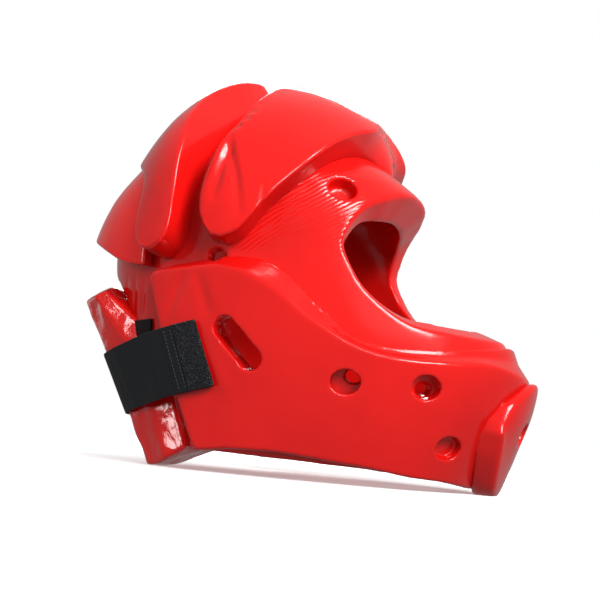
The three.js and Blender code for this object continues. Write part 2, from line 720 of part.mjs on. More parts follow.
// Side reach of the strap beyond the neck pad: a straight run that then lies on the jaw layer
function strapSide(along, out) {
  const onCheek = (place) => {
    const lift = JAW_LIFT + SEAM + STRAP_CLEAR + STRAP_WALL / 2;
    return sideReach(-place.y, place.z, lift);
  };
  if (out < STRAP_LANDING) return onCheek(padPlace(0, along, out));
  const start = strapLine().at(-1);
  const landing = onCheek(padPlace(0, along, STRAP_LANDING));
  return THREE.MathUtils.mapLinear(out, start.y, STRAP_LANDING, start.x, landing);
}

// Ribbon from rows of middle points, thickened to both sides of its own surface
function ribbonGeometry(grid, wall) {
  const shifted = (distance) => grid.map((line, i) => line.map((point, j) => {
    const [before, after] = [grid[Math.max(i - 1, 0)][j], grid[Math.min(i + 1, grid.length - 1)][j]];
    const [left, right] = [line[Math.max(j - 1, 0)], line[Math.min(j + 1, line.length - 1)]];
    const normal = after.clone().sub(before).cross(right.clone().sub(left)).normalize();
    return point.clone().addScaledVector(normal, distance);
  }));
  return slabGeometry(shifted(-wall / 2), shifted(wall / 2));
}

// One row of points across the strap, where it wraps the neck pad
function wrappedRow({ x, y }) {
  return [-0.5, 0, 0.5].map((share) => padPlace(x, STRAP_MIDDLE + share * STRAP_WIDTH, y));
}

// One row of points across the strap beside the head, turned with its slope as it leaves the pad
function cheekRow(out) {
  const start = strapLine().at(-1).y;
  const turned = Math.min((start - out) / (start - STRAP_LANDING), 1);
  const slope = THREE.MathUtils.degToRad(STRAP_SLOPE);
  const middle = STRAP_MIDDLE - (start - out) * Math.tan(slope);
  return [-0.5, 0, 0.5].map((share) => {
    const along = middle + share * STRAP_WIDTH * Math.cos(slope * turned);
    const behind = out - share * STRAP_WIDTH * Math.sin(slope * turned);
    return padPlace(strapSide(along, Math.min(behind, start)), along, behind);
  });
}

function neckStrap() {
  const rows = strapLine().map(wrappedRow);
  const start = strapLine().at(-1).y;
  const steps = 10;
  for (let n = 1; n <= steps; n += 1) rows.push(cheekRow(THREE.MathUtils.lerp(start, STRAP_END, n / steps)));
  const mirrored = rows.slice(1).reverse().map((row) => row.map((p) => new THREE.Vector3(-p.x, p.y, p.z)));
  return ribbonGeometry([...mirrored, ...rows], STRAP_WALL);
}

function hookTab(sign) {
  const steps = 4;
  const grid = [];
  const proud = (TAB_WALL - STRAP_WALL) / 2;
  for (let n = 0; n <= steps; n += 1) {
    const row = cheekRow(THREE.MathUtils.lerp(STRAP_END - SEAM, TAB_END, n / steps));
    grid.push(row.map((p) => new THREE.Vector3((p.x + proud) * sign, p.y, p.z)));
  }
  return ribbonGeometry(grid, TAB_WALL);
}

function loopPatch(sign) {
  const size = { base: LOOP_ROWS, columns: 3, rows: 4, sign };
  const below = outlineGrid({ ...size, lift: () => SEAM });
  const above = outlineGrid({ ...size, lift: () => LOOP_LIFT });
  return slabGeometry(below, above);
}

const group = new THREE.Group();
group.name = 'padded_training_helmet';

function addPiece(name, geometry, finish) {
  const placed = geometry.translate(0, -MIDDLE_SHIFT, 0);
  const mesh = new THREE.Mesh(placed, new THREE.MeshStandardMaterial(finish));
  mesh.name = name;
  group.add(mesh);
}

const shell = headShell();
for (const panel of SHELL_PANELS) addPiece(panel.name, shellPanel(shell, panel), RED_VINYL);
addPiece('jaw_guard', jawGuard(), RED_VINYL);
addPiece('chin_pad', chinPad(), RED_VINYL);
addPiece('forehead_pad', raisedPad(FOREHEAD_BASE, FOREHEAD_FACE, () => PAD_LIFT), RED_VINYL);
addPiece('crown_pad', crownPad(), RED_VINYL);
addPiece('back_flap', backFlap(), RED_VINYL);
addPiece('neck_pad', neckPad(), RED_VINYL);
addPiece('neck_strap', neckStrap(), BLACK_ELASTIC);
for (const { name, sign } of SIDES) {
  addPiece(`hook_tab_${name}`, hookTab(sign), BLACK_ELASTIC);
  addPiece(`loop_patch_${name}`, loopPatch(sign), BLACK_LOOP);
}

export default group;
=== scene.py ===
# %% [markdown]
# # A padded training helmet
#
# The real helmet is made of soft foam layers. They are cut, glued on top of each other over a head form and
# then dipped in liquid vinyl, which leaves one glossy red skin with soft edges. A black elastic strap holds
# a loose foam slab over the slot at the back of the neck.
#
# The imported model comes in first. It is the fixed frame: every piece made below sits where the model says.

# %% Load the frame
import math

import bmesh
import bpy
import numpy as np
from mathutils import Matrix, Vector, noise


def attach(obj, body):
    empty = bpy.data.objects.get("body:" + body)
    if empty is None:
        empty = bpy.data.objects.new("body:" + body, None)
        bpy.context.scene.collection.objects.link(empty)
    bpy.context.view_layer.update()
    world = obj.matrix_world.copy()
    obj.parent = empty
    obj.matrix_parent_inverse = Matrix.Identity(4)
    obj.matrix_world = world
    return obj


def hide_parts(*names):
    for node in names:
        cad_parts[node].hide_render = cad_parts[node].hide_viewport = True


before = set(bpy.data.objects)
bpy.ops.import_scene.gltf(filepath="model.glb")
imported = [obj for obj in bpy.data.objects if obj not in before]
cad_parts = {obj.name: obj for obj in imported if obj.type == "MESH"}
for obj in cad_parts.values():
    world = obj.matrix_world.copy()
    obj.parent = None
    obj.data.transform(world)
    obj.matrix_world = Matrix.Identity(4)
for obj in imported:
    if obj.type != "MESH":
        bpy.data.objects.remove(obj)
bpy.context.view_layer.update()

print("nodes:", ", ".join(sorted(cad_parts)))

# %% [markdown]
# ## The camera
#
# The photograph was taken from close by and from just above the table, with the camera turned a little
# towards the front of the helmet, tilted up and slightly rolled. A matrix of three axes and a place sets
# all of that at once, which is easier to read than three Euler angles. The lens shift moves the picture in
# its frame without turning the camera.

# %% Camera
CAMERA_TURN = math.radians(17)
CAMERA_RISE = math.radians(-7.5)
CAMERA_ROLL = math.radians(5.2)
CAMERA_DISTANCE = 0.8
CAMERA_TARGET = Vector((0, -0.0037, 0.13))
CAMERA_LENS, SENSOR_WIDTH = 69.46, 36
PICTURE_PIXELS = 600
SHIFT_RIGHT, SHIFT_UP = -20, -13

turn_sin, turn_cos = math.sin(CAMERA_TURN), math.cos(CAMERA_TURN)
rise_sin, rise_cos = math.sin(CAMERA_RISE), math.cos(CAMERA_RISE)
backward = Vector((-turn_cos * rise_cos, -turn_sin * rise_cos, rise_sin))
level_right = Vector((turn_sin, -turn_cos, 0))
level_up = backward.cross(level_right)
right = level_right * math.cos(CAMERA_ROLL) + level_up * math.sin(CAMERA_ROLL)
up = level_up * math.cos(CAMERA_ROLL) - level_right * math.sin(CAMERA_ROLL)

camera = bpy.data.objects.new("camera", bpy.data.cameras.new("camera"))
camera.data.lens = CAMERA_LENS
camera.data.sensor_width = SENSOR_WIDTH
camera.data.shift_x = SHIFT_RIGHT / PICTURE_PIXELS
camera.data.shift_y = SHIFT_UP / PICTURE_PIXELS
place = Matrix((right, up, backward)).transposed().to_4x4()
place.translation = CAMERA_TARGET + backward * CAMERA_DISTANCE
camera.matrix_world = place
bpy.context.scene.collection.objects.link(camera)
bpy.context.scene.camera = camera
print("camera height above the floor:", round(place.translation.z, 4), "m")

# %% [markdown]
# ## The floor
#
# A product picture like this one is taken on white paper. One large face is enough for it. The paper glows,
# and more so further away, so that it is white all round the picture while the soft shadow under the helmet
# still shows. Diffuse and glossy rays don't see the paper, because its glow would light the vinyl from
# below.

# %% Floor
def node(tree, kind, **values):
    made = tree.nodes.new(kind)
    for name, value in values.items():
        if hasattr(made, name):
            setattr(made, name, value)
        else:
            made.inputs[name.replace("_", " ")].default_value = value
    return made


def new_material(name, **values):
    material = bpy.data.materials.new(name)
    material.use_nodes = True
    shader = material.node_tree.nodes["Principled BSDF"]
    for socket, value in values.items():
        shader.inputs[socket.replace("_", " ")].default_value = value
    return material, material.node_tree, shader


def new_piece(name, mesh_maker):
    mesh = bpy.data.meshes.new(name)
    mesh_maker.to_mesh(mesh)
    mesh_maker.free()
    piece = bpy.data.objects.new(name, mesh)
    bpy.context.scene.collection.objects.link(piece)
    return piece


FLOOR_REACH = 1.5
WHITE, PAPER_WHITE = (1, 1, 1, 1), (0.95, 0.95, 0.95, 1)
GLOW_START, GLOW_END = 0.15, 0.5
GLOW_NEAR, GLOW_FAR = 0.3, 1
sweep = bmesh.new()
bmesh.ops.create_grid(sweep, x_segments=1, y_segments=1, size=FLOOR_REACH)
floor = new_piece("floor", sweep)
floor_white, paper, paper_shader = new_material(
    "floor_white", Base_Color=PAPER_WHITE, Roughness=0.9, Emission_Color=WHITE
)
paper_place = node(paper, "ShaderNodeTexCoord")
paper_reach = node(paper, "ShaderNodeVectorMath", operation="LENGTH")
paper_glow = node(
    paper, "ShaderNodeMapRange", interpolation_type="SMOOTHSTEP",
    From_Min=GLOW_START, From_Max=GLOW_END, To_Min=GLOW_NEAR, To_Max=GLOW_FAR,
)
paper.links.new(paper_place.outputs["Object"], paper_reach.inputs[0])
paper.links.new(paper_reach.outputs["Value"], paper_glow.inputs["Value"])
paper.links.new(paper_glow.outputs["Result"], paper_shader.inputs["Emission Strength"])
floor.data.materials.append(floor_white)
floor.visible_diffuse = False
floor.visible_glossy = False
print("floor:", 2 * FLOOR_REACH, "m wide")

# %% [markdown]
# ## The studio
#
# A pale world stands in for the walls of a studio. It fills the shadows and is a little brighter above than
# below. A modelled room would do the same with many more faces. Rays from the camera see plain white
# instead, as behind a product picture.

# %% Studio
STUDIO_LOW, STUDIO_HIGH = 0.28, 0.42
world = bpy.data.worlds.new("studio")
world.use_nodes = True
air = world.node_tree
walls = air.nodes["Background"]
walls.inputs["Color"].default_value = WHITE
way = node(air, "ShaderNodeTexCoord")
height = node(air, "ShaderNodeSeparateXYZ")
shade = node(air, "ShaderNodeMapRange", From_Min=-1, To_Min=STUDIO_LOW, To_Max=STUDIO_HIGH)
backdrop = node(air, "ShaderNodeBackground", Color=WHITE)
rays = node(air, "ShaderNodeLightPath")
either = node(air, "ShaderNodeMixShader")
air.links.new(way.outputs["Generated"], height.inputs["Vector"])
air.links.new(height.outputs["Z"], shade.inputs["Value"])
air.links.new(shade.outputs["Result"], walls.inputs["Strength"])
air.links.new(rays.outputs["Is Camera Ray"], either.inputs["Fac"])
air.links.new(walls.outputs["Background"], either.inputs[1])
air.links.new(backdrop.outputs["Background"], either.inputs[2])
air.links.new(either.outputs["Shader"], air.nodes["World Output"].inputs["Surface"])
bpy.context.scene.world = world
bpy.context.scene.view_settings.view_transform = "Standard"
print("studio strength:", STUDIO_LOW, "to", STUDIO_HIGH)

# %% [markdown]
# ## The lights
#
# Glossy vinyl mirrors its lights, so each light has one job. A light without shine only brightens the skin
# and isn't mirrored in it. A light without spread does the reverse: it is only mirrored, and draws a bright
# line along an edge. One table keeps them easy to compare. Some of them are later kept to a few pieces,
# once those are made.

# %% Lights
HELMET_MIDDLE = (0, 0, 0.13)
PAD_END = (-0.07, 0.1, 0.1)
BROW = (0, -0.06, 0.19)
HOLLOW = (0.06, 0.02, 0.13)
CHIN = (0, -0.13, 0.04)
LIGHTS = [
    # name, place, aim, size, power, shine, spread
    ("key_light", (-0.62, -0.72, 0.78), HELMET_MIDDLE, (0.36, 0.36), 8, True, True),
    ("front_light", (-0.95, -0.8, 0.7), HELMET_MIDDLE, (0.8, 0.5), 14.5, False, True),
    ("top_light", (0.0, 0.1, 1.6), HELMET_MIDDLE, (1.2, 1.2), 2.5, False, True),
    ("back_light", (-0.9, 1.0, 0.6), HELMET_MIDDLE, (0.6, 0.6), 4, False, True),
    ("left_light", (1.2, 0.45, 0.7), HELMET_MIDDLE, (0.5, 0.5), 9, True, True),
    ("strip_light", (-1.25, 0.58, 0.26), HELMET_MIDDLE, (0.3, 0.6), 6, True, True),
    ("glint_light", (-1.25, 0.5, 0.26), HELMET_MIDDLE, (0.3, 0.6), 9, True, False),
    ("pad_light", (-1.3, 0.0, 0.3), PAD_END, (0.3, 0.4), 7, True, True),
    ("brow_light", (-0.4, -1.0, 0.03), BROW, (0.3, 0.2), 4.5, False, True),
    ("hollow_light", (-0.45, -0.9, 0.32), HOLLOW, (0.2, 0.2), 1.5, False, True),
    ("card_light", (0.25, 1.0, 0.05), HELMET_MIDDLE, (0.8, 0.3), 0.5, True, True),
    ("edge_light", (-0.83, -0.76, 0.2), HELMET_MIDDLE, (0.08, 0.5), 7, True, False),
    ("lip_light", (-0.3, -0.12, 1.3), HELMET_MIDDLE, (0.16, 0.6), 4, True, False),
    ("chin_light", (-1.0, -0.3, 0.03), CHIN, (0.3, 0.1), 1.6, False, True),
]


def soft_light(name, place, aim, size, power, shine, spread):
    lamp = bpy.data.lights.new(name, "AREA")
    lamp.shape = "RECTANGLE"
    lamp.size, lamp.size_y = size
    lamp.energy = power
    light = bpy.data.objects.new(name, lamp)
    light.visible_glossy = shine
    light.visible_diffuse = spread
    light.visible_camera = False
    light.location = place
    light.rotation_euler = (Vector(aim) - Vector(place)).to_track_quat("-Z", "Y").to_euler()
    bpy.context.scene.collection.objects.link(light)
    return light


lights = {row[0]: soft_light(*row) for row in LIGHTS}
print("lights:", ", ".join(lights))

# %% [markdown]
# ## The head form
#
# Every foam layer follows the same head form. A short table gives, for a few heights, how far the form
# reaches to the front, to the back and to each side. Between the rows a curve that never overshoots joins
# them. A line from the form's centre then meets the form at one place only, so any spot can be put on the
# form by halving a distance until it fits. NumPy does that for all points of a mesh together. Sculpting a
# head by hand would be slower, and the pads could not follow it as closely. Millimetres are easier to read
# here, and the last step turns them into metres in the frame.

# %% Levels of the head form
HEAD_LEVELS = np.array([
    # up, front, back, half width, waist
    (0, 103, -84, 84, -38),
    (40, 123, -107, 88, -38),
    (60, 132, -117, 89.5, -38),
    (78, 136, -126, 90.5, -38),
    (90, 133, -132, 91, -38),
    (104, 126, -138, 91, -38),
    (140, 104, -145, 91, -38),
    (165, 88, -140, 90, -38),
    (188, 71, -124, 87, -40),
    (209, 45, -103, 78, -42),
    (229, 17, -83, 57, -44),
    (240.5, -8, -68, 35, -45),
    (247, -45, -45, 0, -45),
])
FORM_POWER = 2.15
FORM_CENTRE = np.array((0, 38, 130))
MIDDLE_SHIFT = 3.7
LEVEL_UPS = HEAD_LEVELS[:, 0]
FORM_TOP = LEVEL_UPS[-1]


def level_curve(values):
    steps = np.diff(LEVEL_UPS)
    slopes = np.diff(values) / steps
    tangents = np.concatenate((slopes[:1], np.zeros(len(slopes) - 1), slopes[-1:]))
    for i in range(1, len(slopes)):
        if slopes[i - 1] * slopes[i] > 0:
            before = 2 * steps[i] + steps[i - 1]
            after = steps[i] + 2 * steps[i - 1]
            tangents[i] = (before + after) / (before / slopes[i - 1] + after / slopes[i])

    def curve(height):
        at = np.clip(height, LEVEL_UPS[0], FORM_TOP)
        i = np.clip(np.searchsorted(LEVEL_UPS, at, side="right") - 1, 0, len(steps) - 1)
        t = (at - LEVEL_UPS[i]) / steps[i]
        ease = t * t * (3 - 2 * t)
        swing = t * (1 - t) * ((1 - t) * tangents[i] - t * tangents[i + 1]) * steps[i]
        return values[i] + (values[i + 1] - values[i]) * ease + swing

    return curve


_, fronts, backs, halves, waists = HEAD_LEVELS.T
waist_at = level_curve(waists)
front_squared = level_curve((fronts - waists) ** 2)
back_squared = level_curve((waists - backs) ** 2)
half_squared = level_curve(halves ** 2)
print("form:", len(HEAD_LEVELS), "levels up to", FORM_TOP, "mm")

# %% Spots on the form
SHORTEST_RAY, LONGEST_RAY, HALVINGS = 10.0, 320.0, 36
NOT_ZERO = 1e-4
SLOPE_STEP = 0.4


def spot(forward, side, height):
    return np.array((side, -forward, height), float)


def form_value(spots):
    x, y, z = spots.T
    ahead = -y - waist_at(z)
    reach = np.sqrt(np.where(ahead > 0, front_squared(z), back_squared(z))) + NOT_ZERO
    half = np.sqrt(half_squared(z)) + NOT_ZERO
    value = (np.abs(ahead) / reach) ** FORM_POWER + (np.abs(x) / half) ** FORM_POWER - 1
    return np.where(z > FORM_TOP, 1 + z - FORM_TOP, value)


def on_form(spots):
    rays = spots - FORM_CENTRE
    rays /= np.linalg.norm(rays, axis=1)[:, None]
    inside = np.full(len(rays), SHORTEST_RAY)
    outside = np.full(len(rays), LONGEST_RAY)
    for _ in range(HALVINGS):
        middle = (inside + outside) / 2
        within = form_value(FORM_CENTRE + rays * middle[:, None]) < 0
        inside = np.where(within, middle, inside)
        outside = np.where(within, outside, middle)
    return FORM_CENTRE + rays * inside[:, None]


def form_normals(spots):
    steps = np.eye(3) * SLOPE_STEP
    normals = np.stack([form_value(spots + step) - form_value(spots - step) for step in steps], axis=1)
    return normals / np.linalg.norm(normals, axis=1)[:, None]


def lifted(spots, lift):
    base = on_form(np.asarray(spots, float))
    return base + form_normals(base) * np.reshape(lift, (-1, 1))


def in_frame(spots):
    return (np.asarray(spots) - (0, MIDDLE_SHIFT, 0)) / 1000


def from_frame(places):
    return np.asarray(places) * 1000 + (0, MIDDLE_SHIFT, 0)


crown = on_form(spot(-45, 0, FORM_TOP)[None])
print("crown of the form:", in_frame(crown)[0].round(4))

# %% [markdown]
# ## Outlines
#
# A pad is drawn by two edges, low and high, in rows from its middle to its end on one side. The other side
# is a mirror image. A smooth line through the rows gives as many points as a mesh needs. A curve object
# could do the same, but its points would not be shared out evenly between the rows.

# %% Smooth lines through rows
def smooth_line(points, shares, closed=False):
    points = np.asarray(points, float)
    count = len(points)
    spans = count if closed else count - 1
    at = np.clip(np.asarray(shares, float), 0, 1) * spans
    i = np.minimum(at.astype(int), spans - 1)
    t = (at - i)[:, None]
    if closed:
        p0, p1, p2, p3 = (points[(i + k) % count] for k in (-1, 0, 1, 2))
    else:
        padded = np.vstack((2 * points[0] - points[1], points, 2 * points[-1] - points[-2]))
        p0, p1, p2, p3 = (padded[i + k] for k in range(4))
    runs = (p1 - p0, p2 - p1, p3 - p2)
    d0, d1, d2 = (np.sqrt(np.linalg.norm(run, axis=1))[:, None] for run in runs)
    leave = ((p1 - p0) / d0 - (p2 - p0) / (d0 + d1) + (p2 - p1) / d1) * d1
    arrive = ((p2 - p1) / d1 - (p3 - p1) / (d1 + d2) + (p3 - p2) / d2) * d1
    bend = -3 * p1 + 3 * p2 - 2 * leave - arrive
    twist = 2 * p1 - 2 * p2 + leave + arrive
    return p1 + leave * t + bend * t ** 2 + twist * t ** 3


def both_sides(rows):
    near = np.array([spot(*row) for row in rows])
    far = near[:0:-1] * (-1, 1, 1)
    return np.vstack((far, near))


def outline(rows):
    return [both_sides([row[edge] for row in rows]) for edge in (0, 1)]


def between_edges(edges, along, across):
    low, high = (smooth_line(edge, along) for edge in edges)
    return low + (high - low) * across[:, None]


print("a line through three spots:", smooth_line([(0, 0, 0), (1, 0, 0), (1, 1, 0)], [0.25])[0].round(3))

# %% [markdown]
# ## From a flat grid to a pad
#
# A pad starts as a flat grid. Each vertex keeps its share along and across the outline in a layer of the
# mesh, and a new copy of a vertex takes that share along. The grid is laid on the form as the pad's base.
# Extruding all of its faces makes a wall, and laying the new top faces on a higher layer shapes it. After a
# few layers, a bevel rounds the shoulder, and a subdivision surface gives the soft skin. A cloth simulation
# would swell the pads and lose their cut outlines, so none is used.

# %% Grids and layers
def border_of(faces):
    inside = set(faces)
    edges = {e for f in faces for e in f.edges}
    return [e for e in edges if sum(f in inside for f in e.link_faces) == 1]


def worked_out(value, *shares):
    return value(*shares) if callable(value) else value


def lay(vertices, share, layer):
    vertices = list(vertices)
    along, across, _ = np.array([v[share] for v in vertices]).T
    base, face = (between_edges(edges, along, across) for edges in layer["edges"])
    blend = worked_out(layer["blend"], along)
    spots = base + (face - base) * np.reshape(blend, (-1, 1))
    lift = worked_out(layer["lift"], along, across)
    for v, co in zip(vertices, in_frame(lifted(spots, lift))):
        v.co = co


def layered_pad(columns, rows, layers):
    pad = bmesh.new()
    share = pad.verts.layers.float_vector.new("share")
    bmesh.ops.create_grid(pad, x_segments=columns, y_segments=rows, size=0.5)
    for v in pad.verts:
        v[share] = (v.co.x + 0.5, v.co.y + 0.5, 0)
    lay(pad.verts, share, layers[0])
    top = pad.faces[:]
    rings = [border_of(top)]
    for layer in layers[1:]:
        rims = {e for f in top for e in f.edges}
        corners = {v for f in top for v in f.verts}
        made = bmesh.ops.extrude_face_region(pad, geom=[*top, *rims, *corners])["geom"]
        top = [g for g in made if isinstance(g, bmesh.types.BMFace)]
        lay({v for f in top for v in f.verts}, share, layer)
        rings.append(border_of(top))
    bmesh.ops.recalc_face_normals(pad, faces=pad.faces)
    return pad, rings


def round_edges(pad, edges, radius, segments=3):
    bmesh.ops.bevel(
        pad, geom=edges, offset=radius, segments=segments, profile=0.5, affect="EDGES", material=-1
    )


print("a pad is made by", layered_pad.__name__, "and", round_edges.__name__)


# %% Soft skins
def bake(piece):
    graph = bpy.context.evaluated_depsgraph_get()
    made = bpy.data.meshes.new_from_object(piece.evaluated_get(graph))
    old = piece.data
    piece.modifiers.clear()
    piece.data = made
    made.name = piece.name
    bpy.data.meshes.remove(old)
    return piece


def soften(piece, levels):
    skin = piece.modifiers.new("skin", "SUBSURF")
    skin.levels = skin.render_levels = levels
    bake(piece)
    piece.data.shade_smooth()
    return piece


def tell(piece):
    faces = len(piece.data.polygons)
    print(f"{piece.name}: {len(piece.data.vertices)} vertices, {faces} faces")


print("a skin is made by", soften.__name__)

# %% [markdown]
# ## Cutting and melting
#
# The vents are punched through the foam before the dip, so their rims are soft. A Boolean modifier cuts
# them, a voxel Remesh gives the cut foam one even skin, and a Smooth modifier melts the edges as the vinyl
# does. A bevel would need a clean loop of edges round each cut, which a Boolean on a curved skin doesn't
# leave.

# %% Cutters
MELT_FACTOR = 0.5
PUNCH_SIDES = 48
VENT_OVAL = Matrix.Diagonal((1.08, 0.88, 1, 1))


def melt_edges(piece, times, group=""):
    melting = piece.modifiers.new("melt", "SMOOTH")
    melting.factor = MELT_FACTOR
    melting.iterations = times
    melting.vertex_group = group
    bake(piece)
    piece.data.shade_smooth()


def cut_and_melt(piece, cutters, voxel, times):
    for cutter in cutters:
        cutting = piece.modifiers.new("cut", "BOOLEAN")
        cutting.operation = "DIFFERENCE"
        cutting.solver = "EXACT"
        cutting.object = cutter
    skin = piece.modifiers.new("dip", "REMESH")
    skin.mode = "VOXEL"
    skin.voxel_size = voxel
    melt_edges(piece, times)
    for cutter in cutters:
        bpy.data.objects.remove(cutter)


def outward_place(spots, lift):
    base = on_form(np.atleast_2d(spots))
    normal = Vector(form_normals(base)[0])
    turn = normal.to_track_quat("Z", "Y").to_matrix().to_4x4()
    turn.translation = Vector(in_frame(base + np.array(normal) * lift)[0])
    return turn


def vent_cutter(vent, sign, low, high):
    forward, side, height, diameter = vent
    punch = bmesh.new()
    middle = outward_place(spot(forward, side * sign, height), (low + high) / 2)
    bmesh.ops.create_cone(
        punch, cap_ends=True, segments=PUNCH_SIDES, radius1=diameter / 2000, radius2=diameter / 2000,
        depth=(high - low) / 1000, matrix=middle @ VENT_OVAL,
    )
    return new_piece("punch", punch)


print("a vent is punched as an oval,", [round(VENT_OVAL[axis][axis], 2) for axis in (0, 1)], "of its size")

# %% [markdown]
# ## Folds and waves
#
# Dipped foam is never quite flat. Long waves run over every skin, and where the foam was bent hard the
# vinyl has folds. Each fold is a short line on the skin with a width and a height: points near it move
# along their normal. That puts a fold just where the photograph shows it, which a simulation would not.
# Points that would end under the floor are raised to it.

# %% Reading and moving a skin
def read_skin(piece):
    count = len(piece.data.vertices)
    places = np.empty(count * 3, np.float32)
    normals = np.empty(count * 3, np.float32)
    piece.data.vertices.foreach_get("co", places)
    piece.data.vertex_normals.foreach_get("vector", normals)
    return places.reshape(-1, 3).astype(float), normals.reshape(-1, 3).astype(float)


def move_skin(piece, places):
    piece.data.vertices.foreach_set("co", places.astype(np.float32).ravel())
    piece.data.update()


WAVE_START = Vector((7.3, 3.1, 5.7))


def wave_field(places, size, seed):
    start = WAVE_START * seed
    return np.array([noise.noise(Vector(p) / size + start) for p in places])


def line_field(places, line):
    line = np.asarray(line, float)
    nearest = np.full(len(places), 1e9)
    share = np.zeros(len(places))
    for k in range(len(line) - 1):
        run = line[k + 1] - line[k]
        t = np.clip((places - line[k]) @ run / (run @ run), 0, 1)
        distance = np.linalg.norm(places - line[k] - t[:, None] * run, axis=1)
        closer = distance < nearest
        nearest = np.where(closer, distance, nearest)
        share = np.where(closer, (k + t) / (len(line) - 1), share)
    return nearest, share


nearest, share = line_field(np.array([(0.5, 1, 0)]), [(0, 0, 0), (1, 0, 0)])
print("a spot beside a line: distance", nearest[0], "at share", share[0])

# %% Folds
SKIN_WAVES = (
    # size, height in metres
    (0.03, 0.00035), (0.011, 0.00012),
)
TAPER_KEPT, TAPER_POWER = 0.9, 0.6


def press_folds(piece, folds, waves=SKIN_WAVES):
    places, normals = read_skin(piece)
    shift = np.zeros(len(places))
    for seed, (size, height) in enumerate(waves):
        shift += wave_field(places, size, seed) * height
    for spots, width, height in folds:
        for sign in (-1, 1):
            line = in_frame([spot(f, s * sign, u) for f, s, u in spots])
            distance, share = line_field(places, line)
            taper = np.sin(np.pi * (share * TAPER_KEPT + (1 - TAPER_KEPT) / 2)) ** TAPER_POWER
            shift += height / 1000 * taper * np.exp(-((distance * 1000 / width) ** 2))
    moved = places + normals * shift[:, None]
    moved[:, 2] = np.maximum(moved[:, 2], 0)
    move_skin(piece, moved)


print("waves on every skin:", len(SKIN_WAVES))

# %% [markdown]
# ## Red vinyl
#
# The skin is a saturated red vinyl with a soft gloss. The colour drifts a little, the gloss is uneven, and
# a fine leathery grain breaks the reflections. On the temples the skin gathered in fine parallel ripples as
# it dried: the mesh carries two attributes for them, where they lie and how strong they are. Modelling them
# would take millions of faces, so they are a bump. A second, coarser bump crumples the loose skin of the
# neck pad, and very faintly all the rest.

# %% Patterns
def color_ramp(tree, *stops):
    ramp = node(tree, "ShaderNodeValToRGB")
    for element, (position, color) in zip(ramp.color_ramp.elements, stops):
        element.position = position
        element.color = (*color, 1)
    return ramp


def noise_on(tree, place, **values):
    pattern = node(tree, "ShaderNodeTexNoise", **values)
    tree.links.new(place, pattern.inputs["Vector"])
    return pattern.outputs["Fac"]


def bump_on(tree, height, strength, distance, under=None):
    bump = node(tree, "ShaderNodeBump", Strength=strength, Distance=distance)
    tree.links.new(height, bump.inputs["Height"])
    if under is not None:
        tree.links.new(under, bump.inputs["Normal"])
    return bump.outputs["Normal"]


print("patterns are made by", color_ramp.__name__, noise_on.__name__, bump_on.__name__)

# %% Red vinyl
RED_DEEP, RED_BRIGHT = (0.56, 0.0045, 0.0035), (0.66, 0.006, 0.0048)
GLOSS_LOW, GLOSS_HIGH = 0.1, 0.22
GRAIN_HEIGHT, RIPPLE_HEIGHT, CRUMPLE_HEIGHT = 0.0004, 0.00014, 0.0015
RIPPLE_WAVER = 9.0


def ripples(tree, place):
    at, strength = (
        node(tree, "ShaderNodeAttribute", attribute_name=name).outputs["Fac"]
        for name in ("ripple_at", "ripple_strength")
    )
    phase = node(tree, "ShaderNodeMath", operation="MULTIPLY_ADD")
    tree.links.new(noise_on(tree, place, Scale=60.0, Detail=2.0), phase.inputs[0])
    phase.inputs[1].default_value = RIPPLE_WAVER
    tree.links.new(at, phase.inputs[2])
    wave = node(tree, "ShaderNodeMath", operation="SINE")
    tree.links.new(phase.outputs["Value"], wave.inputs[0])
    height = node(tree, "ShaderNodeMath", operation="MULTIPLY")
    tree.links.new(wave.outputs["Value"], height.inputs[0])
    tree.links.new(strength, height.inputs[1])
    return height.outputs["Value"]


def red_vinyl(name, crumple):
    material, tree, shader = new_material(name, Specular_IOR_Level=0.5, IOR=1.5)
    link = tree.links.new
    place = node(tree, "ShaderNodeTexCoord").outputs["Object"]
    color = color_ramp(tree, (0.35, RED_DEEP), (0.7, RED_BRIGHT))
    link(noise_on(tree, place, Scale=14.0, Detail=3.0), color.inputs["Fac"])
    link(color.outputs["Color"], shader.inputs["Base Color"])
    gloss = node(tree, "ShaderNodeMapRange", To_Min=GLOSS_LOW, To_Max=GLOSS_HIGH)
    link(noise_on(tree, place, Scale=45.0, Detail=4.0), gloss.inputs["Value"])
    link(gloss.outputs["Result"], shader.inputs["Roughness"])
    grain = noise_on(tree, place, Scale=900.0, Detail=3.0, Roughness=0.6)
    grained = bump_on(tree, grain, 0.05, GRAIN_HEIGHT)
    rippled = bump_on(tree, ripples(tree, place), 1.0, RIPPLE_HEIGHT, grained)
    folds = noise_on(tree, place, Scale=110.0, Detail=3.0, Distortion=1.2)
    link(bump_on(tree, folds, crumple, CRUMPLE_HEIGHT, rippled), shader.inputs["Normal"])
    return material


vinyl = red_vinyl("red_vinyl", crumple=0.05)
crumpled_vinyl = red_vinyl("crumpled_vinyl", crumple=0.3)
print("materials:", vinyl.name, crumpled_vinyl.name)


# %% Dressing a piece
def dress(piece, material, slot, *nodes):
    piece.data.materials.clear()
    piece.data.materials.append(material)
    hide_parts(*nodes)
    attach(piece, "root")
    tell(piece)


print("each piece gets its material, its nodes and its slot by", dress.__name__)

# %% [markdown]
# ## The head shell
#
# The shell is the layer next to the head. A sphere has a vertex in every direction, so its vertices can be
# sent out to the form, which is simpler than joining panels. A plane cuts the neck open, and Solidify gives
# the wall its thickness to the inside. At the brow the wall is much thicker. Cutters open the face, the
# slot at the back, the vents and the ear slots. The face cutter is a funnel that widens from a spot inside
# the head, so that it cuts the wall squarely all round the rim.

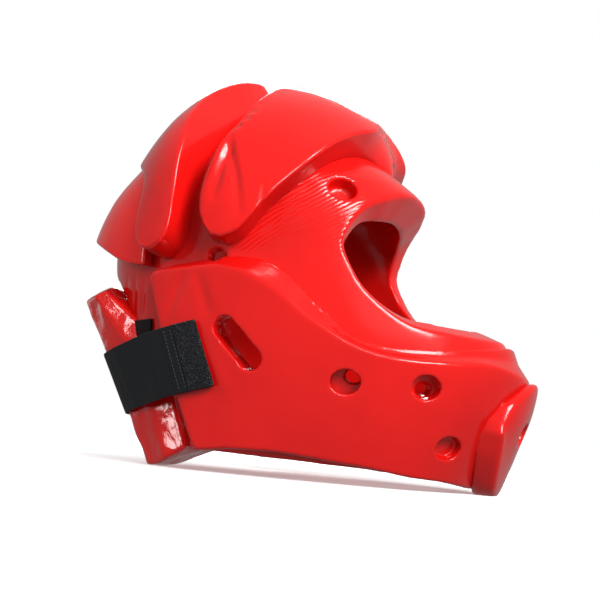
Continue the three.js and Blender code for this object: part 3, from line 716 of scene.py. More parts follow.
# %% Face opening and slot
FACE_RIM = [
    # forward, side, up
    (67, 0, 191.5), (66.8, 10, 191.3), (66, 20, 190.4), (64.5, 30, 189), (61, 41.5, 186.3), (57, 51.5, 182.5),
    (51.5, 59.5, 178.5), (46, 67, 173), (41, 72.5, 165), (38, 76, 157.5), (36, 78.5, 149.5), (38, 78.5, 142),
    (43.5, 78, 132), (52, 76.5, 120.5), (70, 71.5, 106), (85, 66, 99), (104, 53, 97), (122, 32, 96.5),
    (129, 0, 98.5),
]
RIM_POINTS = 120
FUNNEL_APEX = spot(20, 0, 140)
FUNNEL_START, FUNNEL_END = 0.2, 3
BACK_SLOT = [
    # up, half width
    (-10, 86), (36, 86), (48, 83), (55, 74), (62, 71), (95, 64),
    (110, 60), (117, 53), (122, 43), (127, 29), (130, 12),
]
SLOT_FRONT, SLOT_DEPTH = 50, 180


def face_cutter():
    near = np.array([spot(*row) for row in FACE_RIM])
    rows = np.vstack((near, near[-2:0:-1] * (-1, 1, 1)))
    rim = smooth_line(rows, np.arange(RIM_POINTS) / RIM_POINTS, closed=True)
    funnel = bmesh.new()
    edges = []
    for share in (FUNNEL_START, FUNNEL_END):
        ring = in_frame(FUNNEL_APEX + (rim - FUNNEL_APEX) * share)
        loop = [funnel.verts.new(co) for co in ring]
        edges += [funnel.edges.new((a, b)) for a, b in zip(loop, loop[1:] + loop[:1])]
    bmesh.ops.bridge_loops(funnel, edges=edges)
    bmesh.ops.holes_fill(funnel, edges=funnel.edges, sides=0)
    caps = [f for f in funnel.faces if len(f.verts) > 4]
    bmesh.ops.poke(funnel, faces=caps)
    bmesh.ops.recalc_face_normals(funnel, faces=funnel.faces)
    return new_piece("face_cutter", funnel)


def slot_cutter():
    near = [(half, height) for height, half in BACK_SLOT]
    profile = near + [(-x, z) for x, z in reversed(near)]
    slab = bmesh.new()
    corners = [slab.verts.new(in_frame((x, SLOT_FRONT, z))) for x, z in profile]
    face = slab.faces.new(corners)
    pushed = bmesh.ops.extrude_face_region(slab, geom=[face])["geom"]
    moved = [g for g in pushed if isinstance(g, bmesh.types.BMVert)]
    bmesh.ops.translate(slab, verts=moved, vec=(0, SLOT_DEPTH / 1000, 0))
    bmesh.ops.recalc_face_normals(slab, faces=slab.faces)
    return new_piece("slot_cutter", slab)


print("face opening:", len(FACE_RIM), "rows, back slot:", len(BACK_SLOT), "rows")

# %% Vents and ear slots
VENT = 17
TEMPLE_VENT = (31, 71, 184, VENT)
JAW_VENTS = [
    # forward, side, up, diameter
    (-42, 91, 134, 11),
    (46, 80, 62, VENT),
    (91, 64, 63, VENT),
]
SHELL_VENTS = [
    # forward, side, up, diameter
    (-42, 91, 134, 11),
    (50, 78.5, 66, 10),
    (93, 63, 60, 9.5),
]
BROW_VENT = (57, 0, 199, VENT)
BLIND_JAW_VENT = (102, 46, 29, VENT)
CHIN_VENT = (130, 0, 48, VENT)
EAR_START, EAR_END = (-28, 91, 89), (-10, 89, 71)
EAR_LENGTH, EAR_WIDTH = 40, 14.5
CUT_REACH = 40


def ear_cutter(sign):
    start, end = on_form(np.array([spot(f, s * sign, u) for f, s, u in (EAR_START, EAR_END)]))
    middle = outward_place((start + end) / 2, 0)
    outward = middle.to_3x3().col[2]
    along = Vector(end - start)
    along = (along - outward * along.dot(outward)).normalized()
    turn = Matrix((along, outward.cross(along), outward)).transposed().to_4x4()
    turn.translation = middle.translation
    punch = bmesh.new()
    radius = EAR_WIDTH / 2000
    bmesh.ops.create_cone(
        punch, cap_ends=True, segments=PUNCH_SIDES, radius1=radius, radius2=radius, depth=2 * CUT_REACH / 1000
    )
    run = (EAR_LENGTH - EAR_WIDTH) / 2000
    for v in punch.verts:
        v.co.x += run if v.co.x > NOT_ZERO else -run
    bmesh.ops.transform(punch, matrix=turn, verts=punch.verts)
    return new_piece("ear_punch", punch)


def side_cutters(vents):
    cutters = []
    for sign in (-1, 1):
        cutters.append(ear_cutter(sign))
        cutters += [vent_cutter(vent, sign, -CUT_REACH, CUT_REACH) for vent in vents]
    return cutters


print("vents on each side:", len(JAW_VENTS) + 2, "and an ear slot of", EAR_LENGTH, "mm")

# %% Shell wall
SHELL_WALL = 13
SPHERE_COLUMNS, SPHERE_ROWS, SPHERE_REACH = 144, 96, 100
NECK_FRONT, NECK_REAR = spot(105, 0, 8), spot(-90, 0, 15)
shell = bmesh.new()
bmesh.ops.create_uvsphere(shell, u_segments=SPHERE_COLUMNS, v_segments=SPHERE_ROWS, radius=1)
ways = np.array([v.co for v in shell.verts]) * SPHERE_REACH + FORM_CENTRE
for v, co in zip(shell.verts, in_frame(on_form(ways))):
    v.co = co
rim_front, rim_rear = in_frame([NECK_FRONT, NECK_REAR])
rim_normal = Vector((0, rim_rear[2] - rim_front[2], rim_front[1] - rim_rear[1]))


def cut_away(mesh, spot_on_plane, normal):
    bmesh.ops.bisect_plane(
        mesh, geom=mesh.verts[:] + mesh.edges[:] + mesh.faces[:],
        plane_co=spot_on_plane, plane_no=normal, clear_inner=True,
    )


cut_away(shell, rim_front, -rim_normal)
bmesh.ops.recalc_face_normals(shell, faces=shell.faces)
bmesh.ops.solidify(shell, geom=shell.faces[:], thickness=SHELL_WALL / 1000)
bmesh.ops.recalc_face_normals(shell, faces=shell.faces)
print("shell wall:", SHELL_WALL, "mm,", len(shell.verts), "vertices")

# %% Thicker brow
BROW_EXTRA = 14
BROW_SPOT, BROW_REACH = np.array((57, 184)), np.array((26, 20))
INNER_WALL = -0.1


def brow_share(spots, reach):
    away = (np.stack((-spots[:, 1], spots[:, 2]), axis=1) - BROW_SPOT) / reach
    return np.exp(-(away ** 2).sum(1))


shell.verts.ensure_lookup_table()
spots = from_frame([v.co for v in shell.verts])
inside = form_value(spots) < INNER_WALL
thicker = BROW_EXTRA * brow_share(spots, BROW_REACH) * inside
inward = (FORM_CENTRE - spots) / np.linalg.norm(FORM_CENTRE - spots, axis=1)[:, None]
for v, co in zip(shell.verts, in_frame(spots + inward * thicker[:, None])):
    v.co = co
head_shell = new_piece("head_shell_foam", shell)
print("brow: up to", round(thicker.max(), 1), "mm thicker")

# %% Cuts in the shell
BLIND_FLOOR = -11
SHELL_VOXEL, SHELL_MELT = 0.0012, 16
BROW_MELT, BROW_MELT_REACH, LEAST_MELT = 30, 0.8, 0.05
cutters = [face_cutter(), slot_cutter(), vent_cutter(BROW_VENT, 1, BLIND_FLOOR, CUT_REACH)]
cutters += side_cutters(SHELL_VENTS)
cutters += [vent_cutter(TEMPLE_VENT, sign, BLIND_FLOOR, CUT_REACH) for sign in (-1, 1)]
cut_and_melt(head_shell, cutters, SHELL_VOXEL, SHELL_MELT)
softer = brow_share(from_frame(read_skin(head_shell)[0]), BROW_REACH * BROW_MELT_REACH)
brow = head_shell.vertex_groups.new(name="brow")
for index in np.flatnonzero(softer > LEAST_MELT):
    brow.add([int(index)], float(softer[index]), "REPLACE")
melt_edges(head_shell, BROW_MELT, "brow")
tell(head_shell)

# %% [markdown]
# ### Folds and ripples of the shell
#
# Behind the jaw the shell has three upright folds. On the temples its skin gathered in fine ripples, about
# 2.6 mm apart. They run in one slanted direction, so a single number for each vertex, its way across them,
# is all that the material needs.

# %% Folds and ripples of the shell
SHELL_FOLDS = [
    # spots of the line, width, height
    ([(-112, 64.5, 120), (-114, 62, 102)], 2.5, -0.9),
    ([(-104, 71.5, 120), (-105, 70.5, 96)], 2.2, -0.9),
    ([(-95, 77, 118), (-96, 76, 94)], 2.5, -0.8),
]
RIPPLE_ANGLE = math.radians(38)
RIPPLE_PITCH = 2.6
TEMPLE_SPOT, TEMPLE_REACH = (8, 160), (38, 28)
OUTER_WALL = -0.03


def set_attribute(piece, name, values):
    layer = piece.data.attributes.get(name) or piece.data.attributes.new(name, "FLOAT", "POINT")
    layer.data.foreach_set("value", np.asarray(values, np.float32))


press_folds(head_shell, SHELL_FOLDS)
spots = from_frame(read_skin(head_shell)[0])
across = spots[:, 2] * math.cos(RIPPLE_ANGLE) + spots[:, 1] * math.sin(RIPPLE_ANGLE)
ahead = (-spots[:, 1] - TEMPLE_SPOT[0]) / TEMPLE_REACH[0]
above = (spots[:, 2] - TEMPLE_SPOT[1]) / TEMPLE_REACH[1]
temple = np.exp(-(ahead ** 2 + above ** 2)) * (form_value(spots) > OUTER_WALL)
set_attribute(head_shell, "ripple_at", across / RIPPLE_PITCH * 2 * math.pi)
set_attribute(head_shell, "ripple_strength", temple)
dress(head_shell, vinyl, "red_vinyl", *[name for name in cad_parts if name.startswith("shell_")])

# %% [markdown]
# ## The jaw layer
#
# A second layer of foam lies round both cheeks and the jaw. Its upper edge has a thin lip, broad in front
# of the mouth and narrow behind it, then a slope up to the full thickness. The lip and the slope are two
# more layers of the same grid, so no extra strip has to be fitted.

# %% Rows of the jaw layer
JAW_ROWS = [
    # lower edge, upper edge of the face, upper edge of the lip: each forward, side, up
    ((107, 0, 8), (137, 0, 75), (131, 0, 94)),
    ((105, 18, 8), (132, 20, 77), (128, 22, 92)),
    ((97, 38, 9), (122, 42, 79), (117, 45, 88.5)),
    ((80, 54, 10.5), (106, 56, 78), (102, 58, 86)),
    ((61, 67, 12.5), (90, 65, 78), (87, 67, 85)),
    ((39, 75, 15), (74, 73, 78), (68, 75, 85)),
    ((20, 80, 16.5), (57, 79, 81), (52, 79.5, 88)),
    ((6, 83, 17), (43, 82, 86.5), (39, 82.5, 95)),
    ((-4, 84, 17), (31, 84.5, 92.5), (30, 84, 104)),
    ((-11, 85, 16.5), (20, 86, 99), (19, 86, 113)),
    ((-17, 85.5, 16), (9, 88, 107), (9, 87, 122)),
    ((-22, 86, 15.5), (-3, 89.5, 114.5), (-2, 89, 130)),
    ((-26, 86, 15), (-14, 90, 121), (-12, 90, 133)),
    ((-30, 86, 14.5), (-26, 91, 125.5), (-25, 91, 134)),
    ((-33, 86, 14), (-38, 91, 127), (-39, 91, 133)),
    ((-36, 86, 13.5), (-52, 90.5, 125), (-54, 90.5, 129)),
    ((-39, 86, 13), (-67, 88.5, 124), (-69, 88, 126)),
    ((-41, 86, 12.5), (-81, 84, 121), (-82, 83.5, 122)),
]
SUNK = -2
JAW_LIFT, LIP_LIFT = 11.5, 4.5
LIP_FRONT, LIP_REAR = 0.5, 0.12
LIP_TURN, LIP_FADE = 0.14, 0.12


def lip_share(along):
    rear = np.clip((np.abs(along - 0.5) - LIP_TURN) / LIP_FADE, 0, 1)
    return LIP_FRONT + (LIP_REAR - LIP_FRONT) * rear


jaw_edges = (
    outline([(low, lip) for low, high, lip in JAW_ROWS]),
    outline([(low, high) for low, high, lip in JAW_ROWS]),
)
jaw_layers = [
    {"edges": jaw_edges, "blend": blend, "lift": lift}
    for blend, lift in ((0, SUNK), (0, LIP_LIFT), (lip_share, LIP_LIFT), (1, JAW_LIFT))
]
print("jaw layer:", len(JAW_ROWS), "rows,", JAW_LIFT, "mm thick")

# %% Jaw layer
JAW_COLUMNS, JAW_ACROSS = 72, 12
JAW_ROUNDS = [
    # ring, radius, segments
    (3, 0.0016, 3), (2, 0.0006, 2), (1, 0.0012, 2),
]
BLIND_DEPTH = 7
JAW_VOXEL, JAW_MELT = 0.001, 3
JAW_FOLDS = [
    # spots of the line, width, height
    ([(-56.8, 101, 122.5), (-62.4, 100.5, 110), (-67.5, 99, 89.5)], 4, -1.1),
    ([(-49.8, 102, 122.5), (-43, 102.5, 107), (-38.5, 102.5, 95.5)], 4, -1.0),
    ([(-33, 101.5, 70.5), (-26.5, 100.5, 57.5), (-24.5, 100, 49)], 5, 0.8),
    ([(24, 91, 109), (26, 91, 103)], 1.6, -0.5),
    ([(29, 90.5, 105.5), (31.5, 90, 98)], 1.8, -0.6),
    ([(35, 89.5, 100), (38.5, 89, 93.5)], 1.6, -0.6),
    ([(42, 88, 95), (46, 87, 89)], 1.8, -0.5),
]
layer, rings = layered_pad(JAW_COLUMNS, JAW_ACROSS, jaw_layers)
for ring, radius, segments in JAW_ROUNDS:
    round_edges(layer, rings[ring], radius, segments)
jaw_guard = soften(new_piece("jaw_guard_foam", layer), levels=2)
cutters = side_cutters(JAW_VENTS)
cutters += [vent_cutter(BLIND_JAW_VENT, sign, JAW_LIFT - BLIND_DEPTH, CUT_REACH) for sign in (-1, 1)]
cut_and_melt(jaw_guard, cutters, JAW_VOXEL, JAW_MELT)
press_folds(jaw_guard, JAW_FOLDS)
dress(jaw_guard, vinyl, "red_vinyl", "jaw_guard")

# %% [markdown]
# ## The chin pad
#
# A wedge of foam with an egg-shaped outline stands on the front of the jaw layer. It is thickest along its
# lower edge and has a blind vent in its face. The helmet rests on it. Its lowest points would lie under the
# floor, and pressing the waves raises them to it, so it stands flat without another cut.

# %% Chin pad
CHIN_BASE = [
    # lower edge, upper edge: each forward, side, up
    ((114, 0, -6), (147.5, 0, 71.5)), ((115.5, 15, -0.5), (145.5, 13, 69.5)),
    ((119, 26, 12), (141.5, 24, 63)),
    ((122, 32.7, 24), (136, 32, 55.5)), ((126, 36.6, 39), (128, 36.8, 44)),
]
CHIN_FACE = [
    # lower edge, upper edge: each forward, side, up
    ((126, 0, -5), (153, 0, 70)), ((129, 13, -3), (151, 12, 68)), ((132.5, 22, 9), (149.5, 20.5, 63)),
    ((135.5, 28.5, 22), (146.5, 27.5, 56)), ((139.5, 33.2, 38.5), (141, 33.4, 43.5)),
]
CHIN_TOP_LIFT, CHIN_BOTTOM_LIFT = 17.5, 25
CHIN_COLUMNS, CHIN_ACROSS, CHIN_ROUND = 18, 9, 0.0025
CHIN_VOXEL, CHIN_MELT = 0.001, 14


def chin_lift(along, across):
    return CHIN_BOTTOM_LIFT + (CHIN_TOP_LIFT - CHIN_BOTTOM_LIFT) * across


chin_edges = (outline(CHIN_BASE), outline(CHIN_FACE))
layer, rings = layered_pad(CHIN_COLUMNS, CHIN_ACROSS, [
    {"edges": chin_edges, "blend": 0, "lift": JAW_LIFT + SUNK},
    {"edges": chin_edges, "blend": 1, "lift": chin_lift},
])
round_edges(layer, rings[1], CHIN_ROUND)
chin_pad = soften(new_piece("chin_pad_foam", layer), levels=2)
chin_floor = (CHIN_TOP_LIFT + CHIN_BOTTOM_LIFT) / 2 - BLIND_DEPTH
cut_and_melt(chin_pad, [vent_cutter(CHIN_VENT, 1, chin_floor, CUT_REACH)], CHIN_VOXEL, CHIN_MELT)
press_folds(chin_pad, [])
dress(chin_pad, vinyl, "red_vinyl", "chin_pad")

# %% [markdown]
# ## Forehead and crown pads
#
# Two thick pads stand on the shell. Their walls are steep, their shoulders are rounded, and each has a
# tongue that runs down beside the ear. Both are grids in three layers: base, half way and face. The face
# has an outline of its own, because some walls lean in and others stand upright. Where the forehead pad was
# bent round the temple, its skin has deep folds and a crumpled edge.

# %% Raised pads
PAD_LIFT = 22
SHOULDER_ROUND = 0.0022
RAISED_COLUMNS, RAISED_ACROSS = 36, 10
HALF_WAY = 0.5


def raised_pad(name, base, face, lift):
    edges = (outline(base), outline(face))
    layer, rings = layered_pad(RAISED_COLUMNS, RAISED_ACROSS, [
        {"edges": edges, "blend": 0, "lift": SUNK},
        {"edges": edges, "blend": HALF_WAY, "lift": lambda along, across: lift(along, across) * HALF_WAY},
        {"edges": edges, "blend": 1, "lift": lift},
    ])
    round_edges(layer, rings[2], SHOULDER_ROUND)
    return soften(new_piece(name, layer), levels=3)


print("raised pads:", PAD_LIFT, "mm thick")

# %% Forehead pad
FOREHEAD_BASE = [
    # lower edge, upper edge: each forward, side, up
    ((49, 0, 207), (-33, 0, 246)), ((41, 18, 211), (-34, 20, 244.5)), ((32, 38, 211), (-35, 38, 239)),
    ((25, 55, 206), (-37, 54, 230)), ((17, 71, 197), (-39, 65, 221)), ((7, 80, 184), (-42, 75, 211)),
    ((-5, 87, 171), (-46, 82, 199)), ((-14, 89, 160), (-51, 86.5, 184)), ((-20, 90.5, 150.5), (-54, 89, 166)),
    ((-26, 91, 144), (-52, 89.5, 152)), ((-35, 91, 140.5), (-44, 90.5, 142)),
]
FOREHEAD_FACE = [
    # lower edge, upper edge: each forward, side, up
    ((21, 0, 222), (-27, 0, 246)), ((25, 20, 217), (-27, 20, 244)), ((29, 38, 208.5), (-28, 38, 238.5)),
    ((25, 55, 204.5), (-29, 54, 229.5)), ((18, 70, 196), (-31, 65, 220.5)), ((7, 80, 184), (-35, 76, 210.5)),
    ((-5, 87, 171), (-40, 83, 198)), ((-13, 89, 160), (-45, 87.5, 183)), ((-19, 90.5, 151), (-48, 89.5, 165)),
    ((-25, 91, 145), (-46, 90, 152.5)), ((-32.5, 91, 142), (-39.5, 91, 143)),
]
FOREHEAD_FOLDS = [
    # spots of the line, width, height
    ([(-36, 104.5, 206), (-35.5, 107.5, 194.5), (-38, 110, 182.5), (-40, 112, 168)], 3.2, -2.0),
    ([(-41, 104, 204), (-41.5, 107, 194), (-43.5, 109, 182)], 3, 1.0),
    ([(-35.5, 104.5, 206), (-33.5, 106.5, 198), (-27, 110, 181.5), (-21.5, 112, 159)], 3, -1.7),
    ([(-8, 109, 178), (-8, 110, 170), (-9.5, 107.5, 162)], 2, -1.0),
    ([(-28, 84, 234), (-32, 91.6, 226.3), (-34.7, 95.5, 220.5), (-37, 101, 212)], 3.4, -2.4),
    ([(-30, 87, 231), (-24.5, 90.5, 227)], 1.5, -0.9),
    ([(-33, 92, 225.5), (-27, 95, 221.4)], 1.5, -1.0),
    ([(-35, 96.5, 219), (-30, 99.5, 214.5)], 1.5, -0.9),
]


def forehead_lift(along, across):
    return np.full(len(along), PAD_LIFT)


forehead_pad = raised_pad("forehead_pad_foam", FOREHEAD_BASE, FOREHEAD_FACE, forehead_lift)
press_folds(forehead_pad, FOREHEAD_FOLDS)
dress(forehead_pad, vinyl, "red_vinyl", "forehead_pad")

# %% Crown pad
CROWN_BASE = [
    # lower edge, upper edge: each forward, side, up
    ((-128, 0, 194), (-40, 0, 246.5)), ((-125, 22, 193), (-41, 20, 245)), ((-117, 42, 190.5), (-43, 38, 239)),
    ((-107, 57, 187), (-46, 54, 230)), ((-99, 67, 183), (-49, 68, 218.5)),
    ((-93, 75, 177), (-53, 79.5, 204.5)),
    ((-91, 79, 168), (-58, 86, 187)), ((-91.5, 80.5, 156), (-61, 88.5, 167)),
    ((-91, 82, 145), (-62, 89.5, 148)),
    ((-87.5, 83.5, 136), (-66, 89, 137)), ((-80, 85.5, 131), (-73.5, 87.5, 131)),
]
CROWN_FACE = [
    # lower edge, upper edge: each forward, side, up
    ((-126, 0, 196), (-47, 0, 246)), ((-123, 22, 195), (-49, 20, 244)), ((-115, 42, 192.5), (-54, 38, 237.5)),
    ((-105, 57, 189), (-60, 54, 228.5)), ((-97, 67, 185), (-62, 67, 218)),
    ((-91, 74.5, 179), (-62.5, 77, 206)),
    ((-89, 78.5, 169), (-63, 84, 189)), ((-89.5, 80, 157), (-63, 88, 168)), ((-89, 82, 147), (-64, 89, 149)),
    ((-86, 83.5, 139), (-67.5, 88.5, 140)), ((-79.5, 85.5, 134), (-74, 87, 134)),
]
CROWN_REAR_LIFT, CROWN_CREST_LIFT = 13.5, 24.5


def crown_lift(along, across):
    middle = np.sin(np.pi * along)
    rear = (PAD_LIFT - CROWN_REAR_LIFT) * middle * (1 - across) ** 2
    crest = (CROWN_CREST_LIFT - PAD_LIFT) * middle * across ** 2
    return PAD_LIFT - rear + crest


crown_pad = raised_pad("crown_pad_foam", CROWN_BASE, CROWN_FACE, crown_lift)
press_folds(crown_pad, [])
dress(crown_pad, vinyl, "red_vinyl", "crown_pad")

# %% [markdown]
# ## The back flap
#
# Under the crown pad a sheet of foam stands off the back of the head and flares out towards its lower edge.
# It is a grid again, but its base is lifted too, so that the sheet has two free sides. A bevel on all sharp
# edges rounds it.

# %% Back flap
FLAP_ROWS = [
    # lower edge, upper edge: each forward, side, up
    ((-145, 0, 147), (-122, 0, 199)), ((-141, 25, 146.5), (-119, 22, 198)),
    ((-131, 47, 143), (-112, 42, 195)), ((-119, 62, 137), (-103, 57, 191)),
    ((-105, 73.5, 129), (-95, 68, 184)), ((-88, 82, 126), (-86, 79, 166)),
]
FLAP_WALL, FLAP_STAND, FLAP_FLARE = 9, 3, 5
FLAP_GAP, FLAP_CURVE = 0.4, 1.5
FLAP_COLUMNS, FLAP_ACROSS = 24, 6
FLAP_SHARP = math.radians(40)


def flap_lift(extra):
    def lift(along, across):
        flare = FLAP_STAND + FLAP_FLARE * (1 - across) ** FLAP_CURVE
        return FLAP_GAP + extra + np.sin(np.pi * along) * flare
    return lift


flap_edges = (outline(FLAP_ROWS), outline(FLAP_ROWS))
layer, rings = layered_pad(FLAP_COLUMNS, FLAP_ACROSS, [
    {"edges": flap_edges, "blend": 0, "lift": flap_lift(0)},
    {"edges": flap_edges, "blend": 0, "lift": flap_lift(FLAP_WALL)},
])
rims = [e for e in layer.edges if len(e.link_faces) == 2 and e.calc_face_angle() > FLAP_SHARP]
round_edges(layer, rims, SHOULDER_ROUND)
back_flap = soften(new_piece("back_flap_foam", layer), levels=2)
press_folds(back_flap, [])
dress(back_flap, vinyl, "red_vinyl", "back_flap")

# %% [markdown]
# ## The neck pad
#
# The neck pad is a loose slab of foam that leans in the slot at the back. A cube is scaled to its size, its
# back corners are cut off and all edges are rounded with a bevel, and it is turned into its leaning place.
# Planes cut its lower edge: flat on the floor on the right, rising to the left. The slab is no plain box:
# it bellies out towards the head, and its upper corners hang a little, so its points are moved by two
# simple rules.

# %% Slab of the neck pad
PAD_SIZE = Vector((0.144, 0.125, 0.027))
PAD_TILT = math.radians(29)
PAD_REACH, PAD_MIDDLE = 51, 101
PAD_FLAT, PAD_RISE = 0.036, 0.05
PAD_CORNER, PAD_ROUND = 15, 0.002
PAD_UP = np.array((0, math.sin(PAD_TILT), math.cos(PAD_TILT)))
PAD_OUT = np.array((0, math.cos(PAD_TILT), -math.sin(PAD_TILT)))


def pad_places(side, along, out):
    places = PAD_UP * np.reshape(along, (-1, 1)) + PAD_OUT * np.reshape(out, (-1, 1))
    places[:, 0] = side
    return places


slab = bmesh.new()
bmesh.ops.create_cube(slab, size=1)
bmesh.ops.scale(slab, vec=PAD_SIZE, verts=slab.verts)
back_corners = [
    e for e in slab.edges
    if all(v.co.z > 0 for v in e.verts) and e.verts[0].co.x * e.verts[1].co.x > 0
]
round_edges(slab, back_corners, PAD_CORNER / 1000, 1)
round_edges(slab, slab.edges[:], PAD_ROUND)
turn = Matrix((Vector((-1, 0, 0)), Vector(PAD_UP), Vector(PAD_OUT))).transposed().to_4x4()
turn.translation = Vector(in_frame(pad_places(0, PAD_MIDDLE, PAD_REACH + PAD_SIZE.z * 500))[0])
bmesh.ops.transform(slab, matrix=turn, verts=slab.verts)
rise_run = PAD_SIZE.x - PAD_FLAT
slant = Vector((-PAD_RISE, 0, rise_run)).normalized()
for start, normal in ((0, Vector((0, 0, 1))), (PAD_SIZE.x / 2 - rise_run, slant)):
    cut_away(slab, (start, 0, 0), normal)
    bmesh.ops.holes_fill(slab, edges=slab.edges, sides=0)
bmesh.ops.recalc_face_normals(slab, faces=slab.faces)
neck_pad = new_piece("neck_pad_foam", slab)
tell(neck_pad)

# %% Neck pad
PAD_BELLY = [
    # along, how much thicker than at the upper edge
    (40, 8), (70, 12), (118, 14.5), (164, -5),
]
PAD_DROP = 6
END_START, END_RUN = 46, 26
TOP_START, TOP_RUN = 110, 54
PAD_VOXEL, PAD_MELT = 0.0012, 2
PAD_WAVES = (
    # size, height in metres
    (0.03, 0.0006), (0.013, 0.0009), (0.007, 0.00025),
)
cut_and_melt(neck_pad, [], PAD_VOXEL, PAD_MELT)
spots = from_frame(read_skin(neck_pad)[0])
along, out = spots @ PAD_UP, spots @ PAD_OUT
inner = np.clip(1 - (out - PAD_REACH) / (PAD_SIZE.z * 1000), 0, 1)
belly = np.interp(along, *np.array(PAD_BELLY).T) * inner
ends = np.clip((np.abs(spots[:, 0]) - END_START) / END_RUN, 0, 1) ** 2
drop = PAD_DROP * ends * np.clip((along - TOP_START) / TOP_RUN, 0, 1)
move_skin(neck_pad, in_frame(spots - PAD_OUT * belly[:, None] - PAD_UP * drop[:, None]))
press_folds(neck_pad, [], PAD_WAVES)
dress(neck_pad, crumpled_vinyl, "red_vinyl", "neck_pad")

# %% [markdown]
# ## Strap, hook tabs and loop patches
#
# A broad black elastic runs round the back of the neck pad and forward to both cheeks. Each end is sewn to
# a tab of hook tape, which would close on the loop patch of the shell. The strap is one grid that follows
# its route: round the pad's cut corners, freely across to the cheek, and then on the jaw layer, where its
# sewn hem stands up a little. Solidify thickens it. A remesh would wipe out such a thin band. Its shares
# along and across stay in the mesh, and the weave of its material follows them.

# %% Route of the strap
STRAP_WIDTH, STRAP_WALL, STRAP_MIDDLE = 43, 2, 101.4
STRAP_SLOPE, STRAP_TURN = math.radians(14), math.radians(6.5)
STRAP_LANDING, STRAP_END = 36, 12
STRAP_CLEAR = 0.5
STRAP_LIFT = JAW_LIFT + 2 * STRAP_CLEAR + STRAP_WALL / 2
BACK_OUT = PAD_REACH + PAD_SIZE.z * 1000 + STRAP_CLEAR + STRAP_WALL / 2
LEAVE_SIDE = PAD_SIZE.x * 500 + STRAP_CLEAR + STRAP_WALL / 2
LEAVE_OUT = BACK_OUT - PAD_CORNER
WRAP_LINE = [
    # side, out
    (0, BACK_OUT), (24, BACK_OUT), (LEAVE_SIDE - PAD_CORNER - 5, BACK_OUT),
    (LEAVE_SIDE - PAD_CORNER + 2.5, BACK_OUT - 3), (LEAVE_SIDE, LEAVE_OUT),
]
WRAP_RUN = 81
HALF_STRAP = WRAP_RUN + LEAVE_OUT - STRAP_END
HEM_START, HEM_RUN, HEM_RISE = 23, 1.5, 0.6
REACH_ROUNDS, LEAST_SHARE = 8, 0.05


def side_reach(places, lift):
    normals = np.zeros_like(places)
    for _ in range(REACH_ROUNDS):
        y, z = (places[:, axis] - lift * normals[:, axis] for axis in (1, 2))
        ahead = -y - waist_at(z)
        reach = np.sqrt(np.where(ahead > 0, front_squared(z), back_squared(z)))
        share = np.maximum(1 - (np.abs(ahead) / reach) ** FORM_POWER, LEAST_SHARE)
        base = np.stack((np.sqrt(half_squared(z)) * share ** (1 / FORM_POWER), y, z), axis=1)
        normals = form_normals(base)
    return base[:, 0] + lift * normals[:, 0]


def strap_middle(out):
    return STRAP_MIDDLE - (BACK_OUT - out) * math.tan(STRAP_SLOPE)


def cheek_places(out, share, lift):
    free_run = LEAVE_OUT - STRAP_LANDING
    turned = np.clip((LEAVE_OUT - out) / free_run, 0, 1) * STRAP_TURN
    along = strap_middle(out) + share * STRAP_WIDTH * np.cos(turned)
    behind = np.minimum(out - share * STRAP_WIDTH * np.sin(turned), LEAVE_OUT)
    hem = HEM_RISE * np.clip((HEM_START - out) / HEM_RUN, 0, 1)
    on_cheek = side_reach(pad_places(0, along, np.minimum(behind, STRAP_LANDING)), lift) + hem
    free = LEAVE_SIDE + (on_cheek - LEAVE_SIDE) * (LEAVE_OUT - behind) / free_run
    return pad_places(np.where(behind < STRAP_LANDING, on_cheek, free), along, behind)


def strap_places(run, share):
    reach = np.abs(run)
    side, out, _ = smooth_line([(*row, 0) for row in WRAP_LINE], reach / WRAP_RUN).T
    wrapped = pad_places(side, strap_middle(out) + share * STRAP_WIDTH, out)
    free = cheek_places(LEAVE_OUT - np.maximum(reach - WRAP_RUN, 0), share, STRAP_LIFT)
    places = np.where((reach < WRAP_RUN)[:, None], wrapped, free)
    places[:, 0] *= np.where(run < 0, -1, 1)
    return places


print("strap length:", round(2 * HALF_STRAP), "mm")

# %% [markdown]
# ### Weave
#
# Elastic, hook tape and loop pile are all black and woven, and differ in their ribs, their roughness and
# their pale flecks, which are painted glints: light caught on hooks and threads, put into the colour. One
# function with a few numbers makes all three. The pattern reads the piece's own attribute, so the ribs
# follow the band round its bends.

# %% Weave
DARKER, LIGHTER = 0.55, 1.5
PAINTED_GLINT_TINT = (1, 1.06, 1.15)
WEAVES = [
    # name, color, rib scale, rib height, speckle, painted glint
    ("black_elastic", (0.0075, 0.009, 0.0115), 0.5, 0.0002, 1.2, 0.02),
    ("black_hook", (0.004, 0.0045, 0.006), 0.35, 0.0006, 4.0, 0.16),
    ("black_loop", (0.004, 0.004, 0.005), 0.3, 0.0005, 3.0, 0.02),
]


